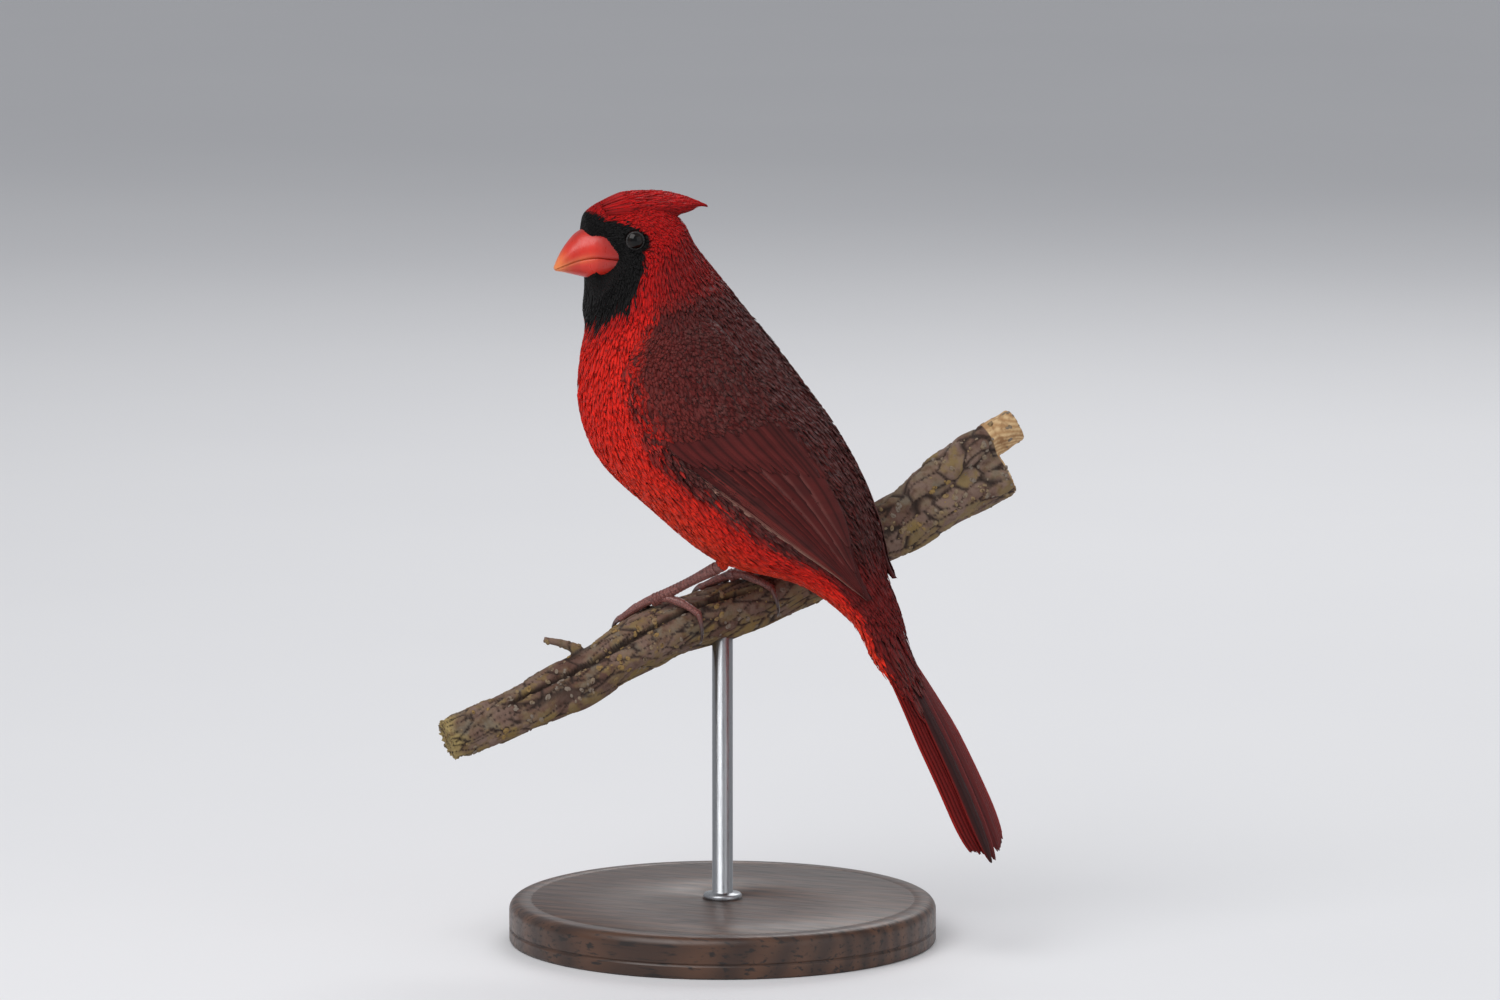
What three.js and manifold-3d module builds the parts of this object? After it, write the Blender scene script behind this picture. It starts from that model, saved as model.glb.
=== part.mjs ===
// A male northern cardinal at life size, perched still on a short cut length of branch, on a plain stand.
// Millimetres, +Z up. The bird heads towards -Y and its left side is +X. Its head is turned to its left.
// The origin of the finished model is the middle of the stand's underside.
import * as THREE from "three";
import { mergeVertices } from "three/addons/utils/BufferGeometryUtils.js";
import Module from "manifold-3d";

const wasm = await Module();
wasm.setup();

// Common sizes
const GAP = 0.3; // clear space between neighbouring pieces
const SAME_POINT = 1e-3; // vertices nearer than this are one
const RIGHT_ANGLE = Math.PI / 2;
const degrees = THREE.MathUtils.degToRad;
const lerp = THREE.MathUtils.lerp;

// Body: slices from the bill's root to the tips of the tail coverts. Low is the throat, breast and belly line,
// high the crown, nape and back line, each as [place along the bird, height], and half is half the width.
// Turn is the share of the head's turn that the slice takes.
const HEAD_TURN = degrees(40);
const NECK_PIVOT_Y = -26.6;
const BODY_SIDES = 20;
const RINGS_PER_SLICE = 2;
const BODY_POWER = 2.15; // 2 is an ellipse, more is squarer
const BODY = [
  { name: "face", turn: 1, low: [-46.4, 194.6], high: [-46.8, 209.8], half: 3.2 },
  { name: "lores", turn: 1, low: [-45.6, 192.4], high: [-45.2, 213.0], half: 5.0 },
  { name: "forehead", turn: 1, low: [-45.8, 190.0], high: [-38.8, 216.2], half: 6.3 },
  { name: "crown", turn: 1, low: [-46.0, 187.0], high: [-27.4, 217.2], half: 10.4 },
  { name: "nape", turn: 0.8, low: [-45.8, 183.2], high: [-17.4, 209.6], half: 14.2 },
  { name: "neck", turn: 0.5, low: [-45.2, 178.6], high: [-12.4, 201.0], half: 17.6 },
  { name: "shoulders", turn: 0.12, low: [-46.0, 169.6], high: [0.2, 185.2], half: 25.0 },
  { name: "breast", turn: 0, low: [-45.6, 155.2], high: [13.2, 168.6], half: 29.6 },
  { name: "mantle", turn: 0, low: [-39.2, 140.4], high: [26.6, 152.2], half: 30.4 },
  { name: "belly", turn: 0, low: [-23.8, 127.2], high: [36.0, 137.2], half: 28.2 },
  { name: "flanks", turn: 0, low: [-3.4, 112.8], high: [41.6, 123.4], half: 22.8 },
  { name: "rump", turn: 0, low: [21.6, 107.2], high: [45.0, 110.8], half: 15.4 },
  { name: "vent", turn: 0, low: [36.8, 97.6], high: [50.2, 98.2], half: 10.8 },
  { name: "coverts", turn: 0, low: [44.2, 86.0], high: [52.2, 90.4], half: 9.8 },
  { name: "coverts_end", turn: 0, low: [50.4, 78.8], high: [55.8, 81.8], half: 8.6 },
];
const slot = (name) => BODY.findIndex((slice) => slice.name === name);
// The face is hollowed beside the bill's root, round a place and an angle from the middle of the back, so that
// the bill shows back to the corner of the mouth.
const LORES_HOLLOW = { place: 2.9, reach: 0.7, angle: degrees(115), spread: degrees(32), depth: 3.2 };

// Bill: slices from the root in the face to the tip, in the head's own frame as [forward of the pivot, height].
// Ridge is the upper outline, edge the line where the mandibles meet, keel the lower outline.
const BILL = [
  { ridge: [14.0, 208.0], edge: [8.6, 199.2], keel: [7.4, 193.4], half: 8.3 },
  { ridge: [18.0, 208.2], edge: [12.4, 199.2], keel: [11.4, 193.4], half: 7.9 },
  { ridge: [21.6, 206.8], edge: [17.8, 199.8], keel: [17.2, 193.3], half: 6.4 },
  { ridge: [24.6, 203.8], edge: [22.4, 199.0], keel: [22.0, 194.4], half: 4.5 },
  { ridge: [27.0, 200.3], edge: [26.0, 197.5], keel: [25.6, 195.3], half: 2.5 },
  { ridge: [28.6, 196.9], edge: [28.4, 196.3], keel: [28.1, 195.8], half: 0.7 },
];
const BILL_SIDES = 10;
const UPPER_OVERHANG = 0.25; // how far the upper mandible's edge stands past the lower

// Eyes
const EYE = { forward: 7.0, side: 9.1, height: 204.8, radius: 3.4, sectors: 12, bands: 6 };

// Crest: laid back along the crown to a point. Each slice has its top and underside in the head's frame.
const CREST = [
  { top: [15.6, 215.6], under: [13.6, 209.4], half: 5.4 },
  { top: [8.0, 218.0], under: [6.0, 208.6], half: 7.4 },
  { top: [-2.0, 218.2], under: [-3.6, 208.8], half: 6.3 },
  { top: [-9.0, 216.9], under: [-10.6, 210.4], half: 4.0 },
  { top: [-14.0, 215.0], under: [-14.6, 212.5], half: 2.0 },
  { top: [-17.6, 213.3], under: [-17.7, 212.7], half: 0.6 },
];
const CREST_SIDES = 10;
const CREST_RINGS = 2;

// Wings: a patch over the body's side from its upper to its lower edge. Place is measured along the body's
// slices, and the edges are angles from the middle of the back, in degrees.
const WING_STATIONS = [
  { at: "shoulders", plus: -0.2, upper: 46, lower: 78 },
  { at: "shoulders", plus: 0.35, upper: 31, lower: 91 },
  { at: "breast", plus: 0, upper: 26, lower: 93 },
  { at: "mantle", plus: 0, upper: 23, lower: 93 },
  { at: "belly", plus: 0, upper: 21, lower: 83 },
  { at: "flanks", plus: 0, upper: 25, lower: 71 },
  { at: "rump", plus: 0, upper: 36, lower: 65 },
  { at: "vent", plus: -0.5, upper: 42, lower: 50 },
];
// The right wing's tip lies a little higher and nearer the middle of the rump than the left one's
const RIGHT_TIP = { higher: 0.3, inward: 15, prouder: 1.7, onset: 5 }; // slices of the body, degrees, mm, power
// Proud and depth are how far a wing stands out of the body and reaches into it. Rim is the share of proud left at
// its edges, and tip the shares of depth that it loses at its tip and keeps at its edges.
const WING = {
  proud: 1.3,
  tipProud: 1.5,
  rimProud: 0.45,
  depth: 3.2,
  tipLoss: 0.8,
  rimDepth: 0.3,
  along: 8,
  across: 5,
};

// Tail: a long folded fan, slightly arched from side to side, hollow from root to tip, and rolled so that its
// right edge lies higher than its left one
const TAIL = {
  root: [33.0, 112.4],
  middle: [58.6, 73.9],
  tip: [79.6, 32.2],
  halfWidth: 11.3,
  rootHalf: 8.4,
  arch: 0.5,
  roll: 2.1, // how far its right edge rises and its left edge drops
  rollFrom: 0.12, // share of its length where the roll starts
  rollTo: 0.6,
  centreLean: 2.5, // how far the middle pair's tip lies to the left
  thick: 0.9,
  centreHalf: 4.4,
  centreThick: 0.7,
  centreLonger: 2.2,
  centreRound: 9.0, // how much shorter the outer edge of the middle pair would be at the tail's full width
  sideRound: 3.0,
  spreadBy: 1.6, // the fan has its full width this many times sooner than its end
  across: 4,
  steps: 7,
};

// Branch: the line of its heart from the broken end to the clean cut, with its radius
const BRANCH = [
  { at: [50.2, -69.0, 63.0], radius: 6.0 },
  { at: [26.6, -42.0, 75.8], radius: 7.4 },
  { at: [5.4, -19.6, 91.0], radius: 8.0 },
  { at: [-11.2, 0.2, 98.2], radius: 7.7 },
  { at: [-36.6, 31.2, 117.0], radius: 8.4 },
  { at: [-60.0, 59.0, 134.0], radius: 8.8 },
];
const FORK = [
  { at: [-30.0, 26.4, 115.4], radius: 4.0 },
  { at: [-40.4, 39.4, 127.6], radius: 5.0 },
  { at: [-50.0, 51.0, 138.2], radius: 5.2 },
  { at: [-60.4, 63.4, 147.6], radius: 5.0 },
];
const SPUR = [
  { at: [20.5, -36.0, 82.0], radius: 2.3 },
  { at: [22.3, -41.5, 87.6], radius: 1.6 },
  { at: [25.0, -49.4, 89.8], radius: 1.1 },
];
const SPUR_SIDES = 7;
const SPUR_STEPS = 4;
const BRANCH_SIDES = 12;
const BRANCH_STEP = 10;
const BARK_RELIEF = 0.055; // height of the lumps as a share of the radius

// Legs and feet, left and right: the heel in the plumage, where the foot stands along the branch, and its toes
const LEGS = {
  left: { hip: [12.5, 8, 128], heel: [11.0, 0.4, 112.2], stands: 0.4 },
  right: { hip: [-13.5, 21, 127], heel: [-11.8, 12.6, 111.6], stands: 0.53 },
};
const THIGH = {
  pastHeel: 0.6,
  sides: 10,
  steps: 4,
  stations: [
    { share: 0, radius: 4.75 },
    { share: 0.3, radius: 8.7 },
    { share: 0.65, radius: 6.6 },
    { share: 1, radius: 2.4 },
  ],
};
const TARSUS = {
  sides: 9,
  steps: 7,
  stations: [
    { share: 0, radius: 1.75 },
    { share: 0.45, radius: 1.35 },
    { share: 0.85, radius: 1.5 },
    { share: 1.06, radius: 1.75 },
  ],
};
const FOOT_LIFT = 1.5; // from the bark to the middle of the foot
const TOE = { radius: 1.2, endRadius: 0.95, rootLift: 0.5, sides: 8, steps: 4 };
// Each toe winds round the branch: its run along the branch, its sweep round it, and where its claw ends
const TOES = [
  { name: "inner", run: -4.0, sweep: 76, clawRun: -5.4, clawSweep: 120 },
  { name: "middle", run: -12.0, sweep: 72, clawRun: -15.2, clawSweep: 116 },
  { name: "outer", run: -9.8, sweep: 34, clawRun: -14.0, clawSweep: 72 },
  { name: "hind", run: 7.6, sweep: -68, clawRun: 6.4, clawSweep: -128 },
];
const CLAW = { root: 0.95, tip: 0.3, arch: 0.9, lift: 0.2, clear: 0.09, sides: 6, steps: 4 }; // clear: share of its line
const ALONG_TOE = [0, 0.35, 0.7, 1];

// Stand
const BASE = { radius: 62, thick: 12, round: 3, roundSteps: 3, foot: 0.6, sides: 32 };
const ROD = { radius: 3, intoBase: 8, intoBranch: 5, sides: 14, underBranch: 0.53 }; // a share of the branch's line
const ROD_AT = [-5.2, -6.0]; // in the bird's frame, below the branch

const FINISH = {
  red: { color: 0xc8281e, roughness: 0.8, metalness: 0 },
  dusky: { color: 0x5a2022, roughness: 0.8, metalness: 0 },
  tail: { color: 0x7a1a18, roughness: 0.75, metalness: 0 },
  bill: { color: 0xe0452c, roughness: 0.35, metalness: 0 },
  eye: { color: 0x0c0a09, roughness: 0.08, metalness: 0 },
  leg: { color: 0x7a4a42, roughness: 0.5, metalness: 0 },
  claw: { color: 0x3a2724, roughness: 0.4, metalness: 0 },
  bark: { color: 0x5b4636, roughness: 0.95, metalness: 0 },
  base: { color: 0x3a2a20, roughness: 0.5, metalness: 0 },
  rod: { color: 0x8d9094, roughness: 0.35, metalness: 1 },
};

// Closed solids and their joins
function solidOf(geometry) {
  const bare = geometry.clone();
  bare.deleteAttribute("normal");
  bare.deleteAttribute("uv");
  const merged = mergeVertices(bare, SAME_POINT);
  return new wasm.Manifold(
    new wasm.Mesh({
      numProp: 3,
      vertProperties: merged.attributes.position.array,
      triVerts: new Uint32Array(merged.index.array),
    }),
  );
}

function geometryOf(solid) {
  const mesh = solid.getMesh();
  return new THREE.BufferGeometry()
    .setAttribute("position", new THREE.BufferAttribute(mesh.vertProperties, 3))
    .setIndex(new THREE.BufferAttribute(mesh.triVerts, 1));
}

// The largest body of a solid, without the crumbs that a cut leaves
function largest(solid) {
  return solid.decompose().reduce((most, part) => (part.volume() > most.volume() ? part : most));
}

// Spline value of one measure of a list of stations, at a place that counts stations from 0
function spline(values, place) {
  const last = values.length - 1;
  const from = Math.min(Math.max(Math.floor(place), 0), last - 1);
  const t = place - from;
  const [a, b, c, d] = [from - 1, from, from + 1, from + 2].map((i) => values[Math.min(Math.max(i, 0), last)]);
  return 0.5 * (2 * b + (c - a) * t + (2 * a - 5 * b + 4 * c - d) * t * t + (3 * b - a - 3 * c + d) * t ** 3);
}

// Faces over a closed grid of rings. Each end is a fan to its middle point, or for a slab, whose ring runs along
// one skin and back along the other, a strip between the two skins.
function loft(rings, slab = false) {
  const count = rings[0].length;
  const middle = (ring) => ring.reduce((sum, p) => sum.add(p), new THREE.Vector3()).divideScalar(count);
  const points = rings.flat();
  const faces = [];
  for (let r = 0; r + 1 < rings.length; r++)
    for (let i = 0; i < count; i++) {
      const next = (i + 1) % count;
      const [a, b, c, d] = [r * count + i, r * count + next, (r + 1) * count + i, (r + 1) * count + next];
      faces.push([a, b, d], [a, d, c]);
    }
  const lastRing = (rings.length - 1) * count;
  if (!slab) points.push(middle(rings[0]), middle(rings.at(-1)));
  const start = lastRing + count;
  for (let i = 0; i < (slab ? count / 2 - 1 : count); i++) {
    const next = (i + 1) % count;
    if (slab) {
      const [across, acrossNext] = [count - 1 - i, count - 2 - i];
      faces.push([i, acrossNext, next], [i, across, acrossNext]);
      faces.push([lastRing + i, lastRing + next, lastRing + acrossNext]);
      faces.push([lastRing + i, lastRing + acrossNext, lastRing + across]);
    } else faces.push([start, next, i], [start + 1, lastRing + i, lastRing + next]);
  }
  return facesOut(points, faces);
}

// The volume's sign says which way the faces look, and they are turned out if they look in
function facesOut(points, faces) {
  const volume = faces.reduce((sum, [a, b, c]) => sum + points[a].dot(points[b].clone().cross(points[c])), 0);
  const turned = volume < 0 ? faces.map(([a, b, c]) => [a, c, b]) : faces;
  return new THREE.BufferGeometry().setFromPoints(points).setIndex(turned.flat());
}

// An oval slice whose upper and lower halves may differ in height
function oval(centre, side, rise, half, above, below, sides) {
  return Array.from({ length: sides }, (_, i) => {
    const angle = (i / sides) * 4 * RIGHT_ANGLE;
    return ovalPoint(centre, side, rise, half, above, below, angle);
  });
}

function ovalPoint(centre, side, rise, half, above, below, angle, power = 2) {
  const [c, s] = [Math.cos(angle), Math.sin(angle)];
  const across = half * Math.sign(s) * Math.abs(s) ** (2 / power);
  const up = (c > 0 ? above : below) * Math.sign(c) * Math.abs(c) ** (2 / power);
  return centre.clone().addScaledVector(side, across).addScaledVector(rise, up);
}

// A round solid along a smooth line through stations with a radius each. Relief changes the radius by its
// place along the line and round it.
function limb(stations, sides, steps, relief = () => 1, grow = 0) {
  const curve = lineOf(stations);
  const radii = stations.map(({ radius }) => radius);
  const frames = curve.computeFrenetFrames(steps, false);
  const rings = frames.tangents.map((_, step) => {
    const share = step / steps;
    const centre = curve.getPointAt(share);
    const radius = spline(radii, curve.getUtoTmapping(share) * (radii.length - 1)) + grow;
    return Array.from({ length: sides }, (_, i) => {
      const angle = (i / sides) * 4 * RIGHT_ANGLE;
      const out = radius * relief(share, angle);
      return centre
        .clone()
        .addScaledVector(frames.normals[step], out * Math.cos(angle))
        .addScaledVector(frames.binormals[step], out * Math.sin(angle));
    });
  });
  return loft(rings);
}

// The head's frame: forward and side of the neck's pivot, turned by a share of the head's turn
function turned(forward, side, height, share = 1) {
  const turn = HEAD_TURN * share;
  return new THREE.Vector3(
    forward * Math.sin(turn) + side * Math.cos(turn),
    NECK_PIVOT_Y - forward * Math.cos(turn) + side * Math.sin(turn),
    height,
  );
}

// One slice of the body at a place that counts slices from 0
function bodySlice(place) {
  const measure = (read) => spline(BODY.map(read), place);
  const turn = measure((slice) => slice.turn);
  const low = turned(NECK_PIVOT_Y - measure((s) => s.low[0]), 0, measure((s) => s.low[1]), turn);
  const high = turned(NECK_PIVOT_Y - measure((s) => s.high[0]), 0, measure((s) => s.high[1]), turn);
  const side = new THREE.Vector3(Math.cos(HEAD_TURN * turn), Math.sin(HEAD_TURN * turn), 0);
  const rise = high.clone().sub(low);
  const reach = rise.length() / 2;
  rise.normalize();
  return { centre: low.add(high).divideScalar(2), side, rise, half: measure((s) => s.half), reach };
}

// A point of the body's surface: its slice, its angle from the middle of the back, and how far it stands out
function bodyPoint(place, angle, out = 0) {
  const { centre, side, rise, half, reach } = bodySlice(place);
  const { depth, spread } = LORES_HOLLOW;
  const fade = (distance) => Math.max(0, 1 - distance ** 2) ** 2;
  const turn = Math.abs(Math.atan2(Math.sin(angle), Math.cos(angle)));
  const near = fade((place - LORES_HOLLOW.place) / LORES_HOLLOW.reach) * fade((turn - LORES_HOLLOW.angle) / spread);
  return ovalPoint(centre, side, rise, half + out - depth * near, reach + out, reach + out, angle, BODY_POWER);
}

function wholeBody() {
  const count = (BODY.length - 1) * RINGS_PER_SLICE;
  const rings = Array.from({ length: count + 1 }, (_, i) =>
    Array.from({ length: BODY_SIDES }, (_, k) => bodyPoint(i / RINGS_PER_SLICE, (k / BODY_SIDES) * 4 * RIGHT_ANGLE)),
  );
  return solidOf(loft(rings));
}

// Everything on one side of a body slice, to divide the body there with a thin gap
function beyondSlice(place, direction) {
  const reach = 220;
  const { centre, side, rise } = bodySlice(place);
  const ahead = side.clone().cross(rise).normalize();
  const box = new THREE.BoxGeometry(2 * reach, 2 * reach, reach);
  box.translate(0, 0, direction * (reach / 2 + GAP / 2));
  box.applyMatrix4(new THREE.Matrix4().makeBasis(side, rise, ahead).setPosition(centre));
  return solidOf(box);
}

// Bill: each mandible is a half oval between the outline and the line where they meet
function mandible(outline, sign, widen, grow = 0) {
  const rings = BILL.map((slice, i) => {
    const longer = i === 0 ? -grow : grow;
    const edge = turned(slice.edge[0] + longer, 0, slice.edge[1] + (sign * GAP) / 2 - sign * grow);
    const rim = turned(slice[outline][0] + longer, 0, slice[outline][1] + sign * grow);
    const rise = rim.clone().sub(edge);
    const reach = rise.length();
    rise.normalize();
    const side = new THREE.Vector3(Math.cos(HEAD_TURN), Math.sin(HEAD_TURN), 0);
    const half = slice.half + widen + grow;
    return Array.from({ length: BILL_SIDES + 1 }, (_, i) => {
      const angle = (i / BILL_SIDES) * 2 * RIGHT_ANGLE;
      return edge
        .clone()
        .addScaledVector(side, half * Math.cos(angle))
        .addScaledVector(rise, reach * Math.sin(angle));
    });
  });
  return solidOf(loft(rings));
}

// Crest: flattened slices that narrow to the point
function crest(grow = 0) {
  const steps = (CREST.length - 1) * CREST_RINGS;
  const rings = Array.from({ length: steps + 1 }, (_, i) => {
    const measure = (read) => spline(CREST.map(read), i / CREST_RINGS);
    const longer = i === 0 ? grow : i === steps ? -grow : 0;
    const top = turned(measure((s) => s.top[0]) + longer, 0, measure((s) => s.top[1]) + grow);
    const under = turned(measure((s) => s.under[0]) + longer, 0, measure((s) => s.under[1]) - grow);
    const rise = top.clone().sub(under);
    const reach = rise.length() / 2;
    rise.normalize();
    const side = new THREE.Vector3(Math.cos(HEAD_TURN), Math.sin(HEAD_TURN), 0);
    const half = measure((s) => s.half) + grow;
    return oval(top.add(under).divideScalar(2), side, rise, half, reach, reach, CREST_SIDES);
  });
  return solidOf(loft(rings));
}

function eye(side, grow = 0) {
  const ball = new THREE.SphereGeometry(EYE.radius + grow, EYE.sectors, EYE.bands);
  ball.rotateX(RIGHT_ANGLE);
  const at = turned(EYE.forward, side * EYE.side, EYE.height);
  return solidOf(ball.translate(at.x, at.y, at.z));
}

// A slab over part of the body's side, between two angles that change along the wing
function bodyPatch(side, from, to, upper, lower, grow = 0) {
  const rimGrowth = (step, last) => (grow === 0 ? 0 : step === 0 ? -1 : step === last ? 1 : 0);
  const layer = (out) =>
    Array.from({ length: WING.along + 1 }, (_, i) => {
      const wing = from + ((to - from) * i) / WING.along + rimGrowth(i, WING.along) * ROOM_ALONG;
      return Array.from({ length: WING.across + 1 }, (_, j) => {
        const across = j / WING.across;
        const share = rightTip(wing, side);
        const rim = rimGrowth(j, WING.across) * ROOM_ACROSS;
        const angle = upper(wing) + (lower(wing) - upper(wing)) * across + rim - RIGHT_TIP.inward * share;
        const lift = out(wing, across) + RIGHT_TIP.prouder * share;
        return bodyPoint(wingPlace(wing, side), side * degrees(angle), lift);
      });
    });
  const bulge = (across) => Math.sin(across * 2 * RIGHT_ANGLE) ** 0.5;
  const proud = (wing, across) =>
    lerp(WING.proud, WING.tipProud, wing) * lerp(WING.rimProud, 1, bulge(across)) + grow;
  const deep = (wing, across) =>
    -WING.depth * (1 - WING.tipLoss * wing) * lerp(WING.rimDepth, 1, bulge(across)) - grow;
  const outer = layer(proud);
  const inner = layer(deep);
  const rings = outer.map((row, i) => [...row, ...inner[i].toReversed()]);
  return solidOf(loft(rings, true));
}

// The wing's own measure runs from 0 at the shoulder to 1 at the tip
const wingAt = (read) => (wing) => spline(WING_STATIONS.map(read), wing * (WING_STATIONS.length - 1));
const wingLine = wingAt(({ at, plus }) => slot(at) + plus);
const rightTip = (wing, side) => (side < 0 ? wing ** RIGHT_TIP.onset : 0);
const wingPlace = (wing, side) => wingLine(wing) - RIGHT_TIP.higher * rightTip(wing, side);
const wingUpper = wingAt(({ upper }) => upper);
const wingLower = wingAt(({ lower }) => lower);

// How far the room for a wing reaches past its rims, along the wing's measure and in degrees across it
const ROOM_ALONG = 0.004;
const ROOM_ACROSS = 1.5;

// Where the wing is divided: the coverts end, and the primaries lie below the secondaries
const COVERTS_END = 0.42;
const SECONDARIES_END = 0.93;
const PART_ALONG = 0.002; // half of the gap along the wing
const SECONDARIES_SHARE = 0.66; // of the folded wing's width
const primariesUpper = (wing) => lerp(wingUpper(wing), wingLower(wing), SECONDARIES_SHARE);
const PART_ACROSS = 0.5; // half of the gap across the wing, in degrees

function wingPieces(side, grow = 0) {
  return {
    coverts: bodyPatch(side, 0, COVERTS_END - PART_ALONG, wingUpper, wingLower, grow),
    secondaries: bodyPatch(
      side,
      COVERTS_END + PART_ALONG,
      SECONDARIES_END,
      wingUpper,
      (wing) => primariesUpper(wing) - PART_ACROSS,
      grow,
    ),
    primaries: bodyPatch(
      side,
      COVERTS_END + PART_ALONG,
      1,
      (wing) => primariesUpper(wing) + PART_ACROSS,
      wingLower,
      grow,
    ),
  };
}

// Tail: slices across a curved line, each a thin arched slab between two distances from the middle
function tailSlab(fromX, toX, { drop, thick, longer, round, lean = 0 }, grow = 0) {
  const line = new THREE.QuadraticBezierCurve3(
    new THREE.Vector3(0, ...TAIL.root),
    new THREE.Vector3(0, ...bezierMiddle(TAIL.root, TAIL.middle, TAIL.tip)),
    new THREE.Vector3(0, ...TAIL.tip),
  );
  const rings = Array.from({ length: TAIL.steps + 1 }, (_, i) => {
    const share = i / TAIL.steps;
    const at = line.getPointAt(share);
    const along = line.getTangentAt(share);
    const normal = new THREE.Vector3(1, 0, 0).cross(along).normalize();
    if (normal.y < 0) normal.negate();
    const spread = lerp(TAIL.rootHalf, TAIL.halfWidth, Math.min(1, share * TAIL.spreadBy));
    const rolled = Math.min(1, Math.max(0, (share - TAIL.rollFrom) / (TAIL.rollTo - TAIL.rollFrom)));
    const point = (k, depth) => {
      const x = lerp(fromX, toX, k / TAIL.across) + lean * share;
      const end = share * (longer - round * (x / TAIL.halfWidth) ** 2);
      const wide = x / TAIL.halfWidth;
      const height = TAIL.arch * (0.5 - wide ** 2) - TAIL.roll * rolled * wide - drop - depth;
      return at
        .clone()
        .addScaledVector(along, end)
        .addScaledVector(normal, height)
        .setX((x * spread) / TAIL.halfWidth + Math.sign(toX - fromX) * grow * (k === TAIL.across ? 1 : -1));
    };
    const row = Array.from({ length: TAIL.across + 1 }, (_, k) => k);
    const upper = row.map((k) => point(k, -grow));
    const lower = row.map((k) => point(k, thick + grow)).toReversed();
    return [...upper, ...lower];
  });
  return solidOf(loft(rings, true));
}

// The control point that carries a quadratic curve through a middle point
function bezierMiddle(from, middle, to) {
  return middle.map((value, i) => 2 * value - (from[i] + to[i]) / 2);
}

// Branch: lumpy limbs joined in one piece, since it grew as one
const branchRelief = (share, angle) =>
  1 +
  BARK_RELIEF * Math.sin(3 * angle + 9 * share) +
  0.6 * BARK_RELIEF * Math.sin(5 * angle - 23 * share + 1) +
  0.7 * BARK_RELIEF * Math.sin(41 * share + 2 * angle);

const lineOf = (stations) => new THREE.CatmullRomCurve3(stations.map(({ at }) => new THREE.Vector3(...at)));

function branchSolid(grow = 0) {
  const grown = (stations) => {
    const steps = Math.round(lineOf(stations).getLength() / BRANCH_STEP);
    return limb(stations, BRANCH_SIDES, steps, branchRelief, grow);
  };
  const spur = limb(SPUR, SPUR_SIDES, SPUR_STEPS, branchRelief, grow);
  return solidOf(grown(BRANCH)).add(solidOf(grown(FORK))).add(solidOf(spur));
}

// A point on or above the bark: its share along the branch, run along it in mm, sweep round it from the top
// towards the far side in degrees, and lift off the bark
const branchLine = lineOf(BRANCH);
const branchLength = branchLine.getLength();
function onBranch(share, run, sweep, lift) {
  const place = share + run / branchLength;
  const centre = branchLine.getPointAt(place);
  const along = branchLine.getTangentAt(place);
  const far = along.clone().cross(new THREE.Vector3(0, 0, -1)).normalize();
  const up = far.clone().cross(along).normalize();
  if (up.z < 0) up.negate();
  const radius = spline(BRANCH.map((s) => s.radius), branchLine.getUtoTmapping(place) * (BRANCH.length - 1));
  const angle = degrees(sweep);
  const out = radius * (1 + BARK_RELIEF) + lift;
  return centre.addScaledVector(up, out * Math.cos(angle)).addScaledVector(far, out * Math.sin(angle));
}

function footPlace(leg) {
  return onBranch(leg.stands, 0, 0, FOOT_LIFT);
}

// Stations at shares of the straight line between two points
function between(from, to, stations) {
  return stations.map(({ share, radius }) => ({ at: from.clone().lerp(to, share).toArray(), radius }));
}

function tarsus(leg, grow = 0) {
  const heel = new THREE.Vector3(...leg.heel);
  const foot = footPlace(leg);
  return solidOf(limb(between(heel, foot, TARSUS.stations), TARSUS.sides, TARSUS.steps, () => 1, grow));
}

function thigh(leg, grow = 0) {
  const hip = new THREE.Vector3(...leg.hip);
  const heel = new THREE.Vector3(...leg.heel);
  const reach = heel.clone().sub(hip);
  const end = heel.clone().addScaledVector(reach.normalize(), THIGH.pastHeel);
  return solidOf(limb(between(hip, end, THIGH.stations), THIGH.sides, THIGH.steps, () => 1, grow));
}

function toe(leg, { run, sweep }, grow = 0) {
  const stations = ALONG_TOE.map((share) => ({
    at: onBranch(leg.stands, run * share, sweep * share, GAP + TOE.radius + TOE.rootLift * (1 - share)).toArray(),
    radius: lerp(TOE.radius, TOE.endRadius, share),
  }));
  return solidOf(limb(stations, TOE.sides, TOE.steps, () => 1, grow));
}

function claw(leg, { run, sweep, clawRun, clawSweep }) {
  const away = TOE.radius + CLAW.lift;
  const stations = [CLAW.clear, ...ALONG_TOE.slice(1)].map((share) => ({
    at: onBranch(
      leg.stands,
      lerp(run, clawRun, share),
      lerp(sweep, clawSweep, share),
      away + CLAW.arch * Math.sin(share * 2 * RIGHT_ANGLE),
    ).toArray(),
    radius: lerp(CLAW.root, CLAW.tip, share),
  }));
  return solidOf(limb(stations, CLAW.sides, CLAW.steps));
}

// Stand: a flat round base with a softened upper edge, and one rod let into it and into the branch
function baseSolid() {
  const { radius, thick, round, roundSteps, foot } = BASE;
  const edge = Array.from({ length: roundSteps + 1 }, (_, i) => {
    const angle = (i / roundSteps) * RIGHT_ANGLE;
    return new THREE.Vector2(radius - round + round * Math.cos(angle), thick - round + round * Math.sin(angle));
  });
  const profile = [new THREE.Vector2(0, 0), new THREE.Vector2(radius - foot, 0), new THREE.Vector2(radius, foot)];
  const lathe = new THREE.LatheGeometry([...profile, ...edge, new THREE.Vector2(0, thick)], BASE.sides);
  lathe.rotateX(RIGHT_ANGLE);
  lathe.translate(...ROD_AT, 0);
  return solidOf(lathe);
}

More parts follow.
